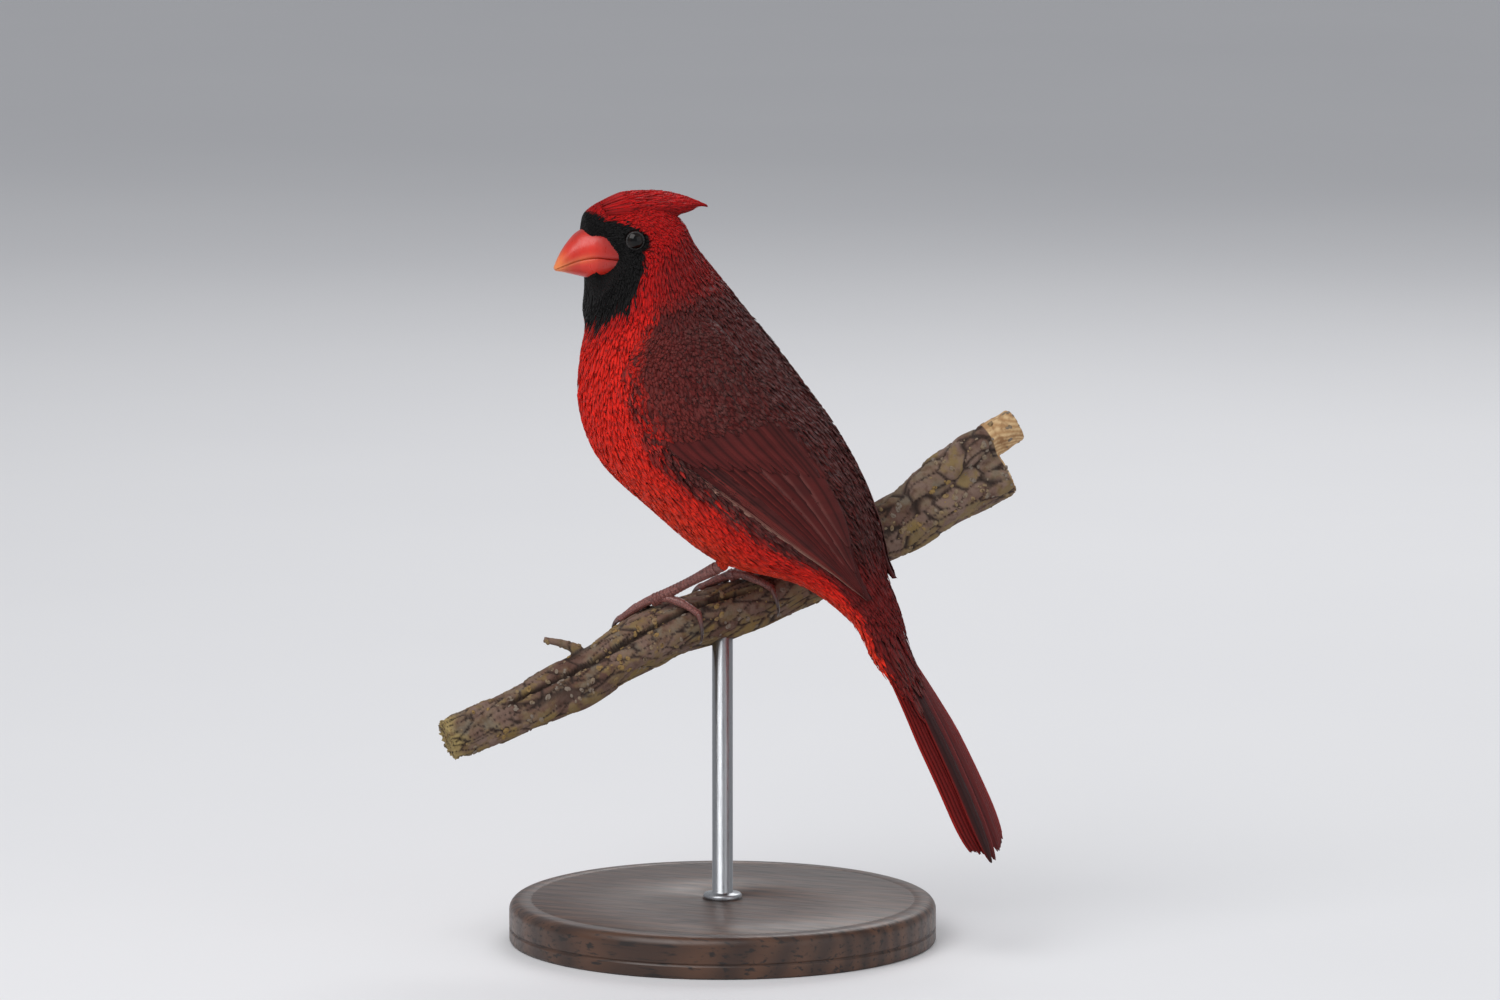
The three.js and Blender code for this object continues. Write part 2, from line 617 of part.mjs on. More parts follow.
function rodSolid(top, grow = 0) {
  const low = BASE.thick - ROD.intoBase - grow;
  const rod = new THREE.CylinderGeometry(ROD.radius + grow, ROD.radius + grow, top - low + grow, ROD.sides);
  rod.rotateX(RIGHT_ANGLE);
  return solidOf(rod.translate(...ROD_AT, (top + low + grow) / 2));
}

// Assembly. The pieces are cut in the bird's frame, then the whole is set over the middle of the stand.
const model = new THREE.Group();
model.position.set(-ROD_AT[0], -ROD_AT[1], 0);

function place(name, solid, finish) {
  const clean = largest(solidOf(geometryOf(solid)));
  const mesh = new THREE.Mesh(geometryOf(clean), new THREE.MeshStandardMaterial(FINISH[finish]));
  mesh.name = name;
  model.add(mesh);
}

const SIDES = { left: 1, right: -1 };
const wood = branchSolid();
const woodRoom = branchSolid(GAP);

let body = wholeBody().subtract(woodRoom);
const upperMandible = mandible("ridge", 1, UPPER_OVERHANG);
const lowerMandible = mandible("keel", -1, 0);
body = body
  .subtract(mandible("ridge", 1, UPPER_OVERHANG, GAP))
  .subtract(mandible("keel", -1, 0, GAP))
  .subtract(crest(GAP));
place("bill_upper", upperMandible, "bill");
place("bill_lower", lowerMandible, "bill");
place("crest", crest(), "red");

for (const [name, side] of Object.entries(SIDES)) {
  body = body.subtract(eye(side, GAP));
  for (const room of Object.values(wingPieces(side, GAP))) body = body.subtract(room);
  place(`eye_${name}`, eye(side), "eye");
  for (const [piece, solid] of Object.entries(wingPieces(side)))
    place(`wing_${name}_${piece}`, solid.subtract(woodRoom), "dusky");
}

// Tail pieces: the middle pair lies on the two side stacks
const CENTRE_PAIR = {
  drop: -TAIL.centreThick - GAP,
  thick: TAIL.centreThick,
  longer: TAIL.centreLonger,
  round: TAIL.centreRound,
  lean: TAIL.centreLean,
};
const SIDE_STACK = { drop: 0, thick: TAIL.thick, longer: 0, round: TAIL.sideRound };
place("tail_center", tailSlab(-TAIL.centreHalf, TAIL.centreHalf, CENTRE_PAIR), "tail");
place("tail_left", tailSlab(GAP / 2, TAIL.halfWidth, SIDE_STACK), "tail");
place("tail_right", tailSlab(-TAIL.halfWidth, -GAP / 2, SIDE_STACK), "tail");
body = body
  .subtract(tailSlab(-TAIL.halfWidth, TAIL.halfWidth, SIDE_STACK, GAP))
  .subtract(tailSlab(-TAIL.centreHalf, TAIL.centreHalf, CENTRE_PAIR, GAP));

// Each toe is cut clear of the shank and of the toes before it
for (const [name, leg] of Object.entries(LEGS)) {
  const shank = tarsus(leg).subtract(woodRoom);
  body = body.subtract(thigh(leg, GAP)).subtract(tarsus(leg, GAP));
  place(`thigh_${name}`, thigh(leg).subtract(woodRoom).subtract(tarsus(leg, GAP)), "red");
  place(`tarsus_${name}`, shank, "leg");
  let taken = tarsus(leg, GAP).add(woodRoom);
  for (const shape of TOES) {
    place(`toe_${name}_${shape.name}`, largest(toe(leg, shape).subtract(taken)), "leg");
    place(`claw_${name}_${shape.name}`, claw(leg, shape).subtract(woodRoom), "claw");
    taken = taken.add(toe(leg, shape, GAP));
  }
}

// The body is divided across its slices into head, neck, trunk and rump
const HEAD_END = slot("nape") + 0.2;
const NECK_END = slot("shoulders") - 0.1;
const TRUNK_END = slot("rump") + 0.1;
const ahead = (part, at) => largest(part.intersect(beyondSlice(at, 1)));
const behind = (part, at) => largest(part.intersect(beyondSlice(at, -1)));
place("head", ahead(body, HEAD_END), "red");
place("neck", ahead(behind(body, HEAD_END), NECK_END), "red");
place("trunk", ahead(behind(body, NECK_END), TRUNK_END), "red");
place("rump", behind(body, TRUNK_END), "red");

const branchOverRod = branchLine.getPoint(ROD.underBranch);
const rodTop = branchOverRod.z - BRANCH[2].radius + ROD.intoBranch;
place("branch", wood.subtract(rodSolid(rodTop, GAP)), "bark");
place("stand_base", baseSolid().subtract(rodSolid(rodTop, GAP)), "base");
place("stand_rod", rodSolid(rodTop), "rod");

export default model;
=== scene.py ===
"""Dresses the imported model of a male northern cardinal, perched still on a cut branch over a plain stand.

Shapes are worked out in millimetres in the bird's own frame, where the body heads towards -Y and its left
side is +X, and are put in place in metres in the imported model's frame.
"""

import logging
import math
from dataclasses import dataclass, field
from enum import Enum
from typing import Callable, Optional, Protocol, Sequence, Union

import bpy
import numpy as np
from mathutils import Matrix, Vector, kdtree


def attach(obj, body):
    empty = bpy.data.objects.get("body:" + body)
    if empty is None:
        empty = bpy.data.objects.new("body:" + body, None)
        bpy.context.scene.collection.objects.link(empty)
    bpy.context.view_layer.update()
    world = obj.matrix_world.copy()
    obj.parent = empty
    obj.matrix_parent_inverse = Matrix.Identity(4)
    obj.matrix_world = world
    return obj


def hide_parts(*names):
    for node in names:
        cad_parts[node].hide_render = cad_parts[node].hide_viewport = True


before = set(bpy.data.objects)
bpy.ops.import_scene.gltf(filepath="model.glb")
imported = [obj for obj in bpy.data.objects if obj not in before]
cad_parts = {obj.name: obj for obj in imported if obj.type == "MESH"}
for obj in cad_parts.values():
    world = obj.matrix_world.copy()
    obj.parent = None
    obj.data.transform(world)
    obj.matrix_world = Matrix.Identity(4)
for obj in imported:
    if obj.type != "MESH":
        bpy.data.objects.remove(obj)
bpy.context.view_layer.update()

log = logging.getLogger("cardinal")

Array = np.ndarray
Rng = np.random.Generator
Triple = tuple[float, float, float]
Relief = Callable[[Array, Array], Array]
Value = Union[bpy.types.NodeSocket, float, Sequence[float], Array]
MM = 0.001
BIRD_OFFSET = np.array([5.2, 6.0, 0.0])  # of the bird's frame in the model's, in mm
HEAD_TURN = math.radians(40.0)
NECK_PIVOT_Y = -26.6
GAP = 0.3
UV_PATCH = 0.003
SEED = 1842
EYE_AT = (7.0, 10.9, 204.8)  # forward of the neck's pivot, out to the side, and high, on the face


class Side(Enum):
    """The bird's two sides, with the sign of X that each lies on."""

    LEFT = 1
    RIGHT = -1

    @property
    def label(self) -> str:
        """The side's word in node and piece names."""
        return self.name.lower()


def linear(red: float, green: float, blue: float) -> Array:
    """Turns a display colour of 0 to 255 into linear light.

    Args:
        red: Red of 255.
        green: Green of 255.
        blue: Blue of 255.

    Returns:
        Three linear values.
    """
    c = np.array([red, green, blue], dtype=float) / 255.0
    return np.where(c <= 0.04045, c / 12.92, ((c + 0.055) / 1.055) ** 2.4)


class Palette:
    """Colours of the bird, in linear light."""

    BREAST = linear(218, 34, 22)
    BELLY = linear(224, 60, 34)
    CHEEK = linear(180, 14, 12)
    CROWN = linear(176, 13, 14)
    NAPE = linear(120, 16, 16)
    MASK = linear(7, 6, 6)
    BACK = linear(80, 27, 25)
    BACK_EDGE = linear(94, 60, 56)
    RUMP = linear(108, 21, 20)
    UNDERTAIL = linear(226, 56, 32)
    COVERT = linear(82, 23, 22)
    COVERT_EDGE = linear(104, 36, 32)
    SECONDARY = linear(78, 21, 20)
    SECONDARY_EDGE = linear(126, 44, 38)
    PRIMARY = linear(56, 32, 30)
    PRIMARY_EDGE = linear(176, 130, 114)
    TAIL = linear(88, 15, 15)
    TAIL_EDGE = linear(160, 28, 20)
    TAIL_DARK_STRIPE = linear(44, 16, 15)
    BILL = linear(208, 44, 28)
    BILL_BASE = linear(156, 28, 22)
    BILL_TIP = linear(240, 150, 84)
    LEG = linear(140, 84, 76)
    CLAW = linear(62, 44, 40)


def mix(a: Array, b: Array, share: Array) -> Array:
    """Mixes two colours, or two lists of them, by a share per row."""
    share = np.asarray(share)[..., None]
    return a * (1.0 - share) + b * share


def smoothstep(low: float, high: float, value: Array) -> Array:
    """A smooth step from 0 at low to 1 at high."""
    t = np.clip((np.asarray(value) - low) / (high - low), 0.0, 1.0)
    return t * t * (3.0 - 2.0 * t)


def fade(distance: Array) -> Array:
    """A soft bump of 1 at no distance and 0 from a distance of 1."""
    return np.maximum(0.0, 1.0 - np.asarray(distance) ** 2) ** 2


def spline(values: Array, place: Array) -> Array:
    """Smooth values of stations at places counted from 0, carried on straight past the last station.

    Args:
        values: One value or row per station.
        place: Where to read them.

    Returns:
        The value at each place.
    """
    last = len(values) - 1
    place = np.asarray(place, dtype=float)
    start = np.clip(np.floor(place).astype(int), 0, last - 1)
    t = np.clip(place - start, 0.0, 1.0)
    past = np.maximum(place - last, 0.0)
    a, b, c, d = (values[np.clip(start + k, 0, last)] for k in (-1, 0, 1, 2))
    if values.ndim > 1:
        t = t[..., None]
        past = past[..., None]
    curve = 0.5 * (2 * b + (c - a) * t + (2 * a - 5 * b + 4 * c - d) * t**2 + (3 * b - a - 3 * c + d) * t**3)
    return curve + past * (c - b)


def head_point(forward: Array, side: Array, height: Array, share: Array = np.array(1.0)) -> Array:
    """A point given in the head's frame, turned about the neck by a share of the head's turn.

    Args:
        forward: Distance in front of the neck's pivot.
        side: Distance towards the bird's left.
        height: Height above the floor.
        share: Share of the turn.

    Returns:
        Points in the bird's frame.
    """
    turn = HEAD_TURN * np.asarray(share, dtype=float)
    forward, side, height, turn = np.broadcast_arrays(forward, side, height, turn)
    x = forward * np.sin(turn) + side * np.cos(turn)
    y = NECK_PIVOT_Y - forward * np.cos(turn) + side * np.sin(turn)
    return np.stack([x, y, height], axis=-1)


def from_eyes(points: Array) -> Array:
    """Distance of points in the bird's frame from the nearer eye's place on the face."""
    eyes = [head_point(EYE_AT[0], side.value * EYE_AT[1], EYE_AT[2]) for side in Side]
    return np.min([np.linalg.norm(points - eye, axis=1) for eye in eyes], axis=0)


def from_back(angle: Array) -> Array:
    """Degrees between an angle and the middle of the back."""
    return np.degrees(np.abs((angle + math.pi) % (2 * math.pi) - math.pi))


def unit(vectors: Array) -> Array:
    """Vectors at unit length."""
    return vectors / np.maximum(np.linalg.norm(vectors, axis=-1, keepdims=True), 1e-9)


def superellipse(angle: Array, power: float) -> tuple[Array, Array]:
    """Up and across shares of a superellipse at an angle from its top."""
    c, s = np.cos(angle), np.sin(angle)
    return np.sign(c) * np.abs(c) ** (2.0 / power), np.sign(s) * np.abs(s) ** (2.0 / power)


class Form(Protocol):
    """A surface that feathers lie on: u runs with the lie, v across it, and out stands off it."""

    def point(self, u: Array, v: Array, out: Array) -> Array:
        """Points of the surface."""


@dataclass(frozen=True)
class BodyForm:
    """The body's outline: u counts slices from the bill, v is the angle from the middle of the back."""

    power: float = 2.15
    # Place, reach, angle, spread and depth of the hollow beside the bill's root
    hollow: tuple[float, ...] = (2.85, 0.78, math.radians(119), math.radians(37), 4.2)
    slices: tuple[tuple[float, ...], ...] = (
        (1.0, -46.4, 194.6, -46.8, 209.8, 3.2),
        (1.0, -45.6, 192.4, -45.2, 213.0, 5.0),
        (1.0, -45.8, 190.0, -38.8, 216.2, 6.3),
        (1.0, -46.0, 187.0, -27.4, 217.2, 10.4),
        (0.8, -45.8, 183.2, -17.4, 209.6, 14.2),
        (0.5, -45.2, 178.6, -12.4, 201.0, 17.6),
        (0.12, -46.0, 169.6, 0.2, 185.2, 25.0),
        (0.0, -45.6, 155.2, 13.2, 168.6, 29.6),
        (0.0, -39.2, 140.4, 26.6, 152.2, 30.4),
        (0.0, -23.8, 127.2, 36.0, 137.2, 28.2),
        (0.0, -3.4, 112.8, 41.6, 123.4, 22.8),
        (0.0, 21.6, 107.2, 45.0, 110.8, 15.4),
        (0.0, 36.8, 97.6, 50.2, 98.2, 10.8),
        (0.0, 44.2, 86.0, 52.2, 90.4, 9.8),
        (0.0, 50.4, 78.8, 55.8, 81.8, 8.6),
    )

    def point(self, u: Array, v: Array, out: Array) -> Array:
        """Points of the body's surface."""
        turn, low_y, low_z, high_y, high_z, half = np.moveaxis(spline(np.array(self.slices), u), -1, 0)
        zero = np.zeros_like(turn)
        low = head_point(NECK_PIVOT_Y - low_y, zero, low_z, turn)
        high = head_point(NECK_PIVOT_Y - high_y, zero, high_z, turn)
        side = np.stack([np.cos(HEAD_TURN * turn), np.sin(HEAD_TURN * turn), zero], axis=-1)
        rise = high - low
        reach = np.linalg.norm(rise, axis=-1) / 2
        rise = unit(rise)
        up, across = superellipse(v, self.power)
        wide = half + out - self.dent(u, v)
        return (low + high) / 2 + side * (wide * across)[..., None] + rise * ((reach + out) * up)[..., None]

    def dent(self, u: Array, v: Array) -> Array:
        """How deep the face is hollowed beside the bill's root."""
        place, reach, angle, spread, depth = self.hollow
        turn = np.abs(np.arctan2(np.sin(v), np.cos(v)))
        return depth * fade((u - place) / reach) * fade((turn - angle) / spread)


@dataclass(frozen=True)
class CrestForm:
    """The crest, laid back along the crown: u counts slices from its front, v is the angle from its top."""

    slices: tuple[tuple[float, ...], ...] = (
        (15.6, 215.6, 13.6, 209.4, 5.4),
        (8.0, 218.0, 6.0, 208.6, 7.4),
        (-2.0, 218.2, -3.6, 208.8, 6.3),
        (-9.0, 216.9, -10.6, 210.4, 4.0),
        (-14.0, 215.0, -14.6, 212.5, 2.0),
        (-17.6, 213.3, -17.7, 212.7, 0.6),
    )
    ridge: float = 0.25  # how much narrower it is near its top

    def point(self, u: Array, v: Array, out: Array) -> Array:
        """Points of the crest's surface."""
        top_f, top_z, low_f, low_z, half = np.moveaxis(spline(np.array(self.slices), u), -1, 0)
        zero = np.zeros_like(half)
        top = head_point(top_f, zero, top_z)
        low = head_point(low_f, zero, low_z)
        side = np.array([math.cos(HEAD_TURN), math.sin(HEAD_TURN), 0.0])
        rise = top - low
        reach = np.linalg.norm(rise, axis=-1) / 2
        rise = unit(rise)
        room = np.maximum(half + out, 0.15) * (1 - self.ridge * np.clip(np.cos(v), 0, 1))
        high = np.maximum(reach + out, 0.15)
        return (top + low) / 2 + side * (room * np.sin(v))[..., None] + rise * (high * np.cos(v))[..., None]


@dataclass(frozen=True)
class WingForm:
    """A folded wing over the body's side: u runs from shoulder to tip, v from the upper to the lower edge."""

    side: Side
    body: BodyForm = BodyForm()
    stations: tuple[Triple, ...] = (
        (5.8, 46, 78),
        (6.35, 31, 91),
        (7.0, 26, 93),
        (8.0, 23, 93),
        (9.0, 21, 83),
        (10.0, 25, 71),
        (11.0, 36, 65),
        (11.5, 42, 50),
    )
    proud: Triple = (1.3, 1.5, 0.45)  # at the shoulder, at the tip, and the rim's share

    def point(self, u: Array, v: Array, out: Array) -> Array:
        """Points of the wing's outer surface."""
        line, upper, lower = np.moveaxis(spline(np.array(self.stations), u * (len(self.stations) - 1)), -1, 0)
        share = np.clip(u, 0, 1.1) ** 5 if self.side is Side.RIGHT else np.zeros_like(u)
        bulge = np.sin(np.clip(v, 0.0, 1.0) * math.pi) ** 0.5
        near, far, rim = self.proud
        lift = (near + (far - near) * u) * (rim + (1 - rim) * bulge) + 1.7 * share
        angle = np.radians(upper + (lower - upper) * v - 15.0 * share)
        return self.body.point(line - 0.3 * share, self.side.value * angle, lift + out)


@dataclass(frozen=True)
class TailForm:
    """The folded tail: u is the share of its length, v the distance from its middle at its full width."""

    root: tuple[float, float] = (33.0, 112.4)
    middle: tuple[float, float] = (58.6, 73.9)
    tip: tuple[float, float] = (79.6, 32.2)
    half_width: float = 11.3
    root_half: float = 8.4
    arch: float = 0.5
    roll: float = 2.4  # how far the right edge rises and the left edge drops
    rolled_over: tuple[float, float] = (0.12, 0.6)  # shares of the length where the roll starts and is full
    spread_by: float = 1.6

    def point(self, u: Array, v: Array, out: Array) -> Array:
        """Points of the tail's upper surface."""
        a, m, b = (np.array(p) for p in (self.root, self.middle, self.tip))
        knee = 2 * m - (a + b) / 2
        t = np.asarray(u)[..., None]
        at = (1 - t) ** 2 * a + 2 * t * (1 - t) * knee + t**2 * b
        along = unit(2 * (1 - t) * (knee - a) + 2 * t * (b - knee))
        normal = np.stack([-along[..., 1], along[..., 0]], axis=-1)
        normal = np.where(normal[..., :1] < 0, -normal, normal)
        spread = self.root_half + (self.half_width - self.root_half) * np.clip(u * self.spread_by, 0, 1)
        start, full = self.rolled_over
        rolled = self.roll * np.clip((np.asarray(u) - start) / (full - start), 0, 1)
        height = self.arch * (0.5 - (v / self.half_width) ** 2) - rolled * v / self.half_width + out
        flat = at + normal * height[..., None]
        return np.stack([v * spread / self.half_width, flat[..., 0], flat[..., 1]], axis=-1)


@dataclass(frozen=True)
class ThighForm:
    """A feathered thigh: u runs from hip to heel, v goes round it."""

    hip: Triple
    heel: Triple
    radii: tuple[float, ...] = (4.7, 8.2, 7.0, 4.0, 1.9)

    def point(self, u: Array, v: Array, out: Array) -> Array:
        """Points of the thigh's surface."""
        hip, heel = np.array(self.hip), np.array(self.heel)
        along = unit(heel - hip)
        across = unit(np.cross(along, np.array([1.0, 0.0, 0.0])))
        other = np.cross(along, across)
        radius = spline(np.array(self.radii), np.asarray(u) * (len(self.radii) - 1)) + out
        centre = hip + (heel - hip) * np.asarray(u)[..., None]
        return centre + radius[..., None] * (across * np.cos(v)[..., None] + other * np.sin(v)[..., None])


class Line:
    """A smooth line through stations, each with a radius, read by its share of length."""

    SAMPLES = 400

    def __init__(self, stations: Sequence[tuple[Triple, float]]) -> None:
        """Samples the line.

        Args:
            stations: Points in mm with a radius each.
        """
        p = np.array([at for at, _ in stations], dtype=float)
        self.radii = np.array([radius for _, radius in stations], dtype=float)
        p = np.vstack([2 * p[0] - p[1], p, 2 * p[-1] - p[-2]])
        spans = len(self.radii) - 1
        t = np.linspace(0, spans, self.SAMPLES * spans + 1)
        start = np.minimum(t.astype(int), spans - 1)
        w = (t - start)[:, None]
        x0, x1, x2, x3 = (p[start + k] for k in range(4))
        ends = ((x0, x1), (x1, x2), (x2, x3))
        d0, d1, d2 = (np.sqrt(np.linalg.norm(b - a, axis=1, keepdims=True)) for a, b in ends)
        m1 = ((x1 - x0) / d0 - (x2 - x0) / (d0 + d1) + (x2 - x1) / d1) * d1
        m2 = ((x2 - x1) / d1 - (x3 - x1) / (d1 + d2) + (x3 - x2) / d2) * d1
        square, cube = -3 * x1 + 3 * x2 - 2 * m1 - m2, 2 * x1 - 2 * x2 + m1 + m2
        self.places = x1 + m1 * w + square * w**2 + cube * w**3
        steps = np.linalg.norm(np.diff(self.places, axis=0), axis=1)
        self.reach = np.concatenate([[0.0], np.cumsum(steps)])
        self.length = float(self.reach[-1])
        self.raw = t

    def at(self, share: Array) -> Array:
        """Points at shares of the line's length."""
        run = np.asarray(share) * self.length
        return np.stack([np.interp(run, self.reach, self.places[:, k]) for k in range(3)], axis=-1)

    def along(self, share: Array) -> Array:
        """Unit directions of the line at shares of its length."""
        share = np.asarray(share, dtype=float)
        return unit(self.at(np.minimum(share + 0.003, 1)) - self.at(np.maximum(share - 0.003, 0)))

    def radius(self, share: Array) -> Array:
        """Radii at shares of the line's length."""
        return spline(self.radii, np.interp(np.asarray(share) * self.length, self.reach, self.raw))

    def tube(
        self,
        sides: int,
        rings: int,
        relief: Relief,
        shares: Optional[Array] = None,
    ) -> "MeshData":
        """A closed tube round the line.

        Args:
            sides: Points round it.
            rings: Rings along it.
            relief: Factor on the radius by share and angle.
            shares: The rings' own places, where they aren't even.

        Returns:
            The tube's MeshData.
        """
        share = np.linspace(0, 1, rings) if shares is None else shares
        tangents = self.along(share)
        normal = np.zeros(3)
        normal[np.argmin(np.abs(tangents[0]))] = 1.0
        normals = []
        for tangent in tangents:
            normal = unit(normal - tangent * np.dot(normal, tangent))
            normals.append(normal)
        n = np.array(normals)
        b = np.cross(tangents, n)
        angle = np.linspace(0, 2 * math.pi, sides, endpoint=False)
        grid_s, grid_a = np.meshgrid(share, angle, indexing="ij")
        out = (self.radius(grid_s) * relief(grid_s, grid_a))[..., None]
        way = n[:, None] * np.cos(grid_a)[..., None] + b[:, None] * np.sin(grid_a)[..., None]
        return loft(self.at(grid_s) + out * way)


@dataclass
class MeshData:
    """Points in mm with faces and what each point carries."""

    points: Array
    faces: list[Array]
    tint: Optional[Array] = None
    vane: Optional[Array] = None
    uv: Optional[Array] = None

    def volume(self) -> float:
        """Six times the signed volume, which is positive when the faces look out."""
        middle = self.points.mean(axis=0)
        total = 0.0
        for block in self.faces:
            p = self.points[block] - middle
            for k in range(1, block.shape[1] - 1):
                total += float(np.einsum("ij,ij->i", p[:, 0], np.cross(p[:, k], p[:, k + 1])).sum())
        return total

    def facing_out(self) -> "MeshData":
        """The same mesh with its faces turned out if they look in."""
        if self.volume() < 0:
            self.faces = [block[:, ::-1] for block in self.faces]
        return self

    def joined(self, other: "MeshData") -> "MeshData":
        """Both meshes as one."""
        shift = len(self.points)

        def both(a: Optional[Array], b: Optional[Array]) -> Optional[Array]:
            """The two lists end to end, where both are there."""
            return None if a is None or b is None else np.concatenate([a, b])

        return MeshData(
            np.concatenate([self.points, other.points]),
            self.faces + [block + shift for block in other.faces],
            both(self.tint, other.tint),
            both(self.vane, other.vane),
            both(self.uv, other.uv),
        )

    def object(self, name: str, material: bpy.types.Material, smooth: bool = True) -> bpy.types.Object:
        """Makes a Blender object at the origin, in metres in the model's frame.

        Args:
            name: The piece's name.
            material: What it is made of.
            smooth: Whether its faces are shaded smooth.

        Returns:
            The linked object.
        """
        mesh = bpy.data.meshes.new(name)
        mesh.vertices.add(len(self.points))
        mesh.vertices.foreach_set("co", ((self.points + BIRD_OFFSET) * MM).astype(np.float32).ravel())
        corners = np.concatenate([block.ravel() for block in self.faces]).astype(np.int32)
        sizes = np.concatenate([np.full(len(block), block.shape[1]) for block in self.faces])
        mesh.loops.add(len(corners))
        mesh.loops.foreach_set("vertex_index", corners)
        mesh.polygons.add(len(sizes))
        mesh.polygons.foreach_set("loop_start", np.concatenate([[0], np.cumsum(sizes)[:-1]]).astype(np.int32))
        mesh.polygons.foreach_set("use_smooth", np.full(len(sizes), smooth))
        mesh.update(calc_edges=True)
        if self.tint is not None:
            colours = np.concatenate([self.tint, np.ones((len(self.points), 1))], axis=1).astype(np.float32)
            layer = mesh.color_attributes.new("tint", "FLOAT_COLOR", "POINT")
            layer.data.foreach_set("color", colours.ravel())
        if self.vane is not None:
            layer = mesh.attributes.new("vane", "FLOAT_VECTOR", "POINT")
            layer.data.foreach_set("vector", self.vane.astype(np.float32).ravel())
        if self.uv is not None:
            layer = mesh.uv_layers.new(name="OFBake")
            layer.data.foreach_set("uv", self.uv[corners].astype(np.float32).ravel())
        mesh.materials.append(material)
        made = bpy.data.objects.new(name, mesh)
        bpy.context.collection.objects.link(made)
        return made


def loft(rings: Array) -> MeshData:
    """Closes a grid of rings into a solid with a fan over each end.

    Args:
        rings: Points as rings, sides and coordinates.

    Returns:
        A mesh that faces out.
    """
    count, sides = rings.shape[:2]
    points = np.vstack([rings.reshape(-1, 3), rings[0].mean(axis=0), rings[-1].mean(axis=0)])
    i, k = np.meshgrid(np.arange(count - 1), np.arange(sides), indexing="ij")
    j = (k + 1) % sides
    here, after = i * sides, (i + 1) * sides
    quads = np.stack([here + k, here + j, after + j, after + k], axis=-1).reshape(-1, 4)
    k = np.arange(sides)
    j = (k + 1) % sides
    rim, middle = (count - 1) * sides, count * sides
    first = np.stack([np.full(sides, middle), j, k], axis=-1)
    last = np.stack([np.full(sides, middle + 1), rim + k, rim + j], axis=-1)
    return MeshData(points, [quads, np.vstack([first, last])]).facing_out()


# Feathers
@dataclass(frozen=True)
class VaneShape:
    """One feather as a thin closed blade: rows of points over it and one line of points beneath."""

    columns: int = 5
    segments: int = 4
    thick: float = 0.12
    root_width: float = 0.45
    widest: float = 0.6
    tip_width: float = 0.4
    fray: float = 0.12
    droop: float = 0.18
    curve: float = 1.3
    shaft: float = 0.0
    tip_rows: float = 1.0

    def template(self) -> tuple[Array, Array, Array]:
        """Share of length, place across from -1 to 1, and whether a point is beneath, for each point."""
        share = 1.0 - (1.0 - np.linspace(0.0, 1.0, self.segments + 1)) ** self.tip_rows
        across = np.append(np.linspace(-1.0, 1.0, self.columns), 0.0)
        under = np.append(np.zeros(self.columns), 1.0)
        rows = len(share)
        return np.repeat(share, self.columns + 1), np.tile(across, rows), np.tile(under, rows)

    def faces(self) -> tuple[Array, Array]:
        """Four-sided faces round the blade, and the three-sided ones that close its ends."""
        ring = self.columns + 1
        i, k = np.meshgrid(np.arange(self.segments), np.arange(ring), indexing="ij")
        j = (k + 1) % ring
        quads = np.stack([i * ring + k, i * ring + j, (i + 1) * ring + j, (i + 1) * ring + k], axis=-1)
        k = np.arange(ring - 2)
        start = self.segments * ring
        first = np.stack([np.full(len(k), ring - 1), k + 1, k], axis=-1)
        last = np.stack([np.full(len(k), start + ring - 1), start + k, start + k + 1], axis=-1)
        return quads.reshape(-1, 4), np.vstack([first, last])

    def half_width(self, share: Array) -> Array:
        """The blade's half width as a share of its widest."""
        swell = self.root_width + (1 - self.root_width) * np.sin(math.pi * share / (2 * self.widest))
        past = np.clip((share - self.widest) / (1 - self.widest), 0, 1)
        taper = np.sqrt(np.maximum(1 - past**2 * (1 - self.tip_width**2), 0))
        return np.where(share < self.widest, swell, taper)


@dataclass
class Roots:
    """Where feathers grow, and each one's size, lie and colours."""

    u: Array
    v: Array
    length: Array
    width: Array
    low: Array
    high: Array
    tint: Array
    tip: Array
    heading: Array = field(default_factory=lambda: np.zeros(1))

    def __len__(self) -> int:
        """How many feathers there are."""
        return len(self.u)


def metric(form: Form, u: Array, v: Array) -> tuple[Array, Array]:
    """Millimetres for one step of u and of v on a form at each place."""
    u = np.maximum(u, 0.03)
    zero, du, dv = np.zeros_like(u), 0.02, 0.01
    gu = np.linalg.norm(form.point(u + du, v, zero) - form.point(u - du, v, zero), axis=-1) / (2 * du)
    gv = np.linalg.norm(form.point(u, v + dv, zero) - form.point(u, v - dv, zero), axis=-1) / (2 * dv)
    return gu, gv


def spread_out(root: Array) -> Array:
    """Root places as an unwrap that fills the map from 0.01 to 0.99 each way."""
    low, high = root.min(axis=0), root.max(axis=0)
    return 0.01 + 0.98 * (root - low) / np.maximum(high - low, 1e-6)


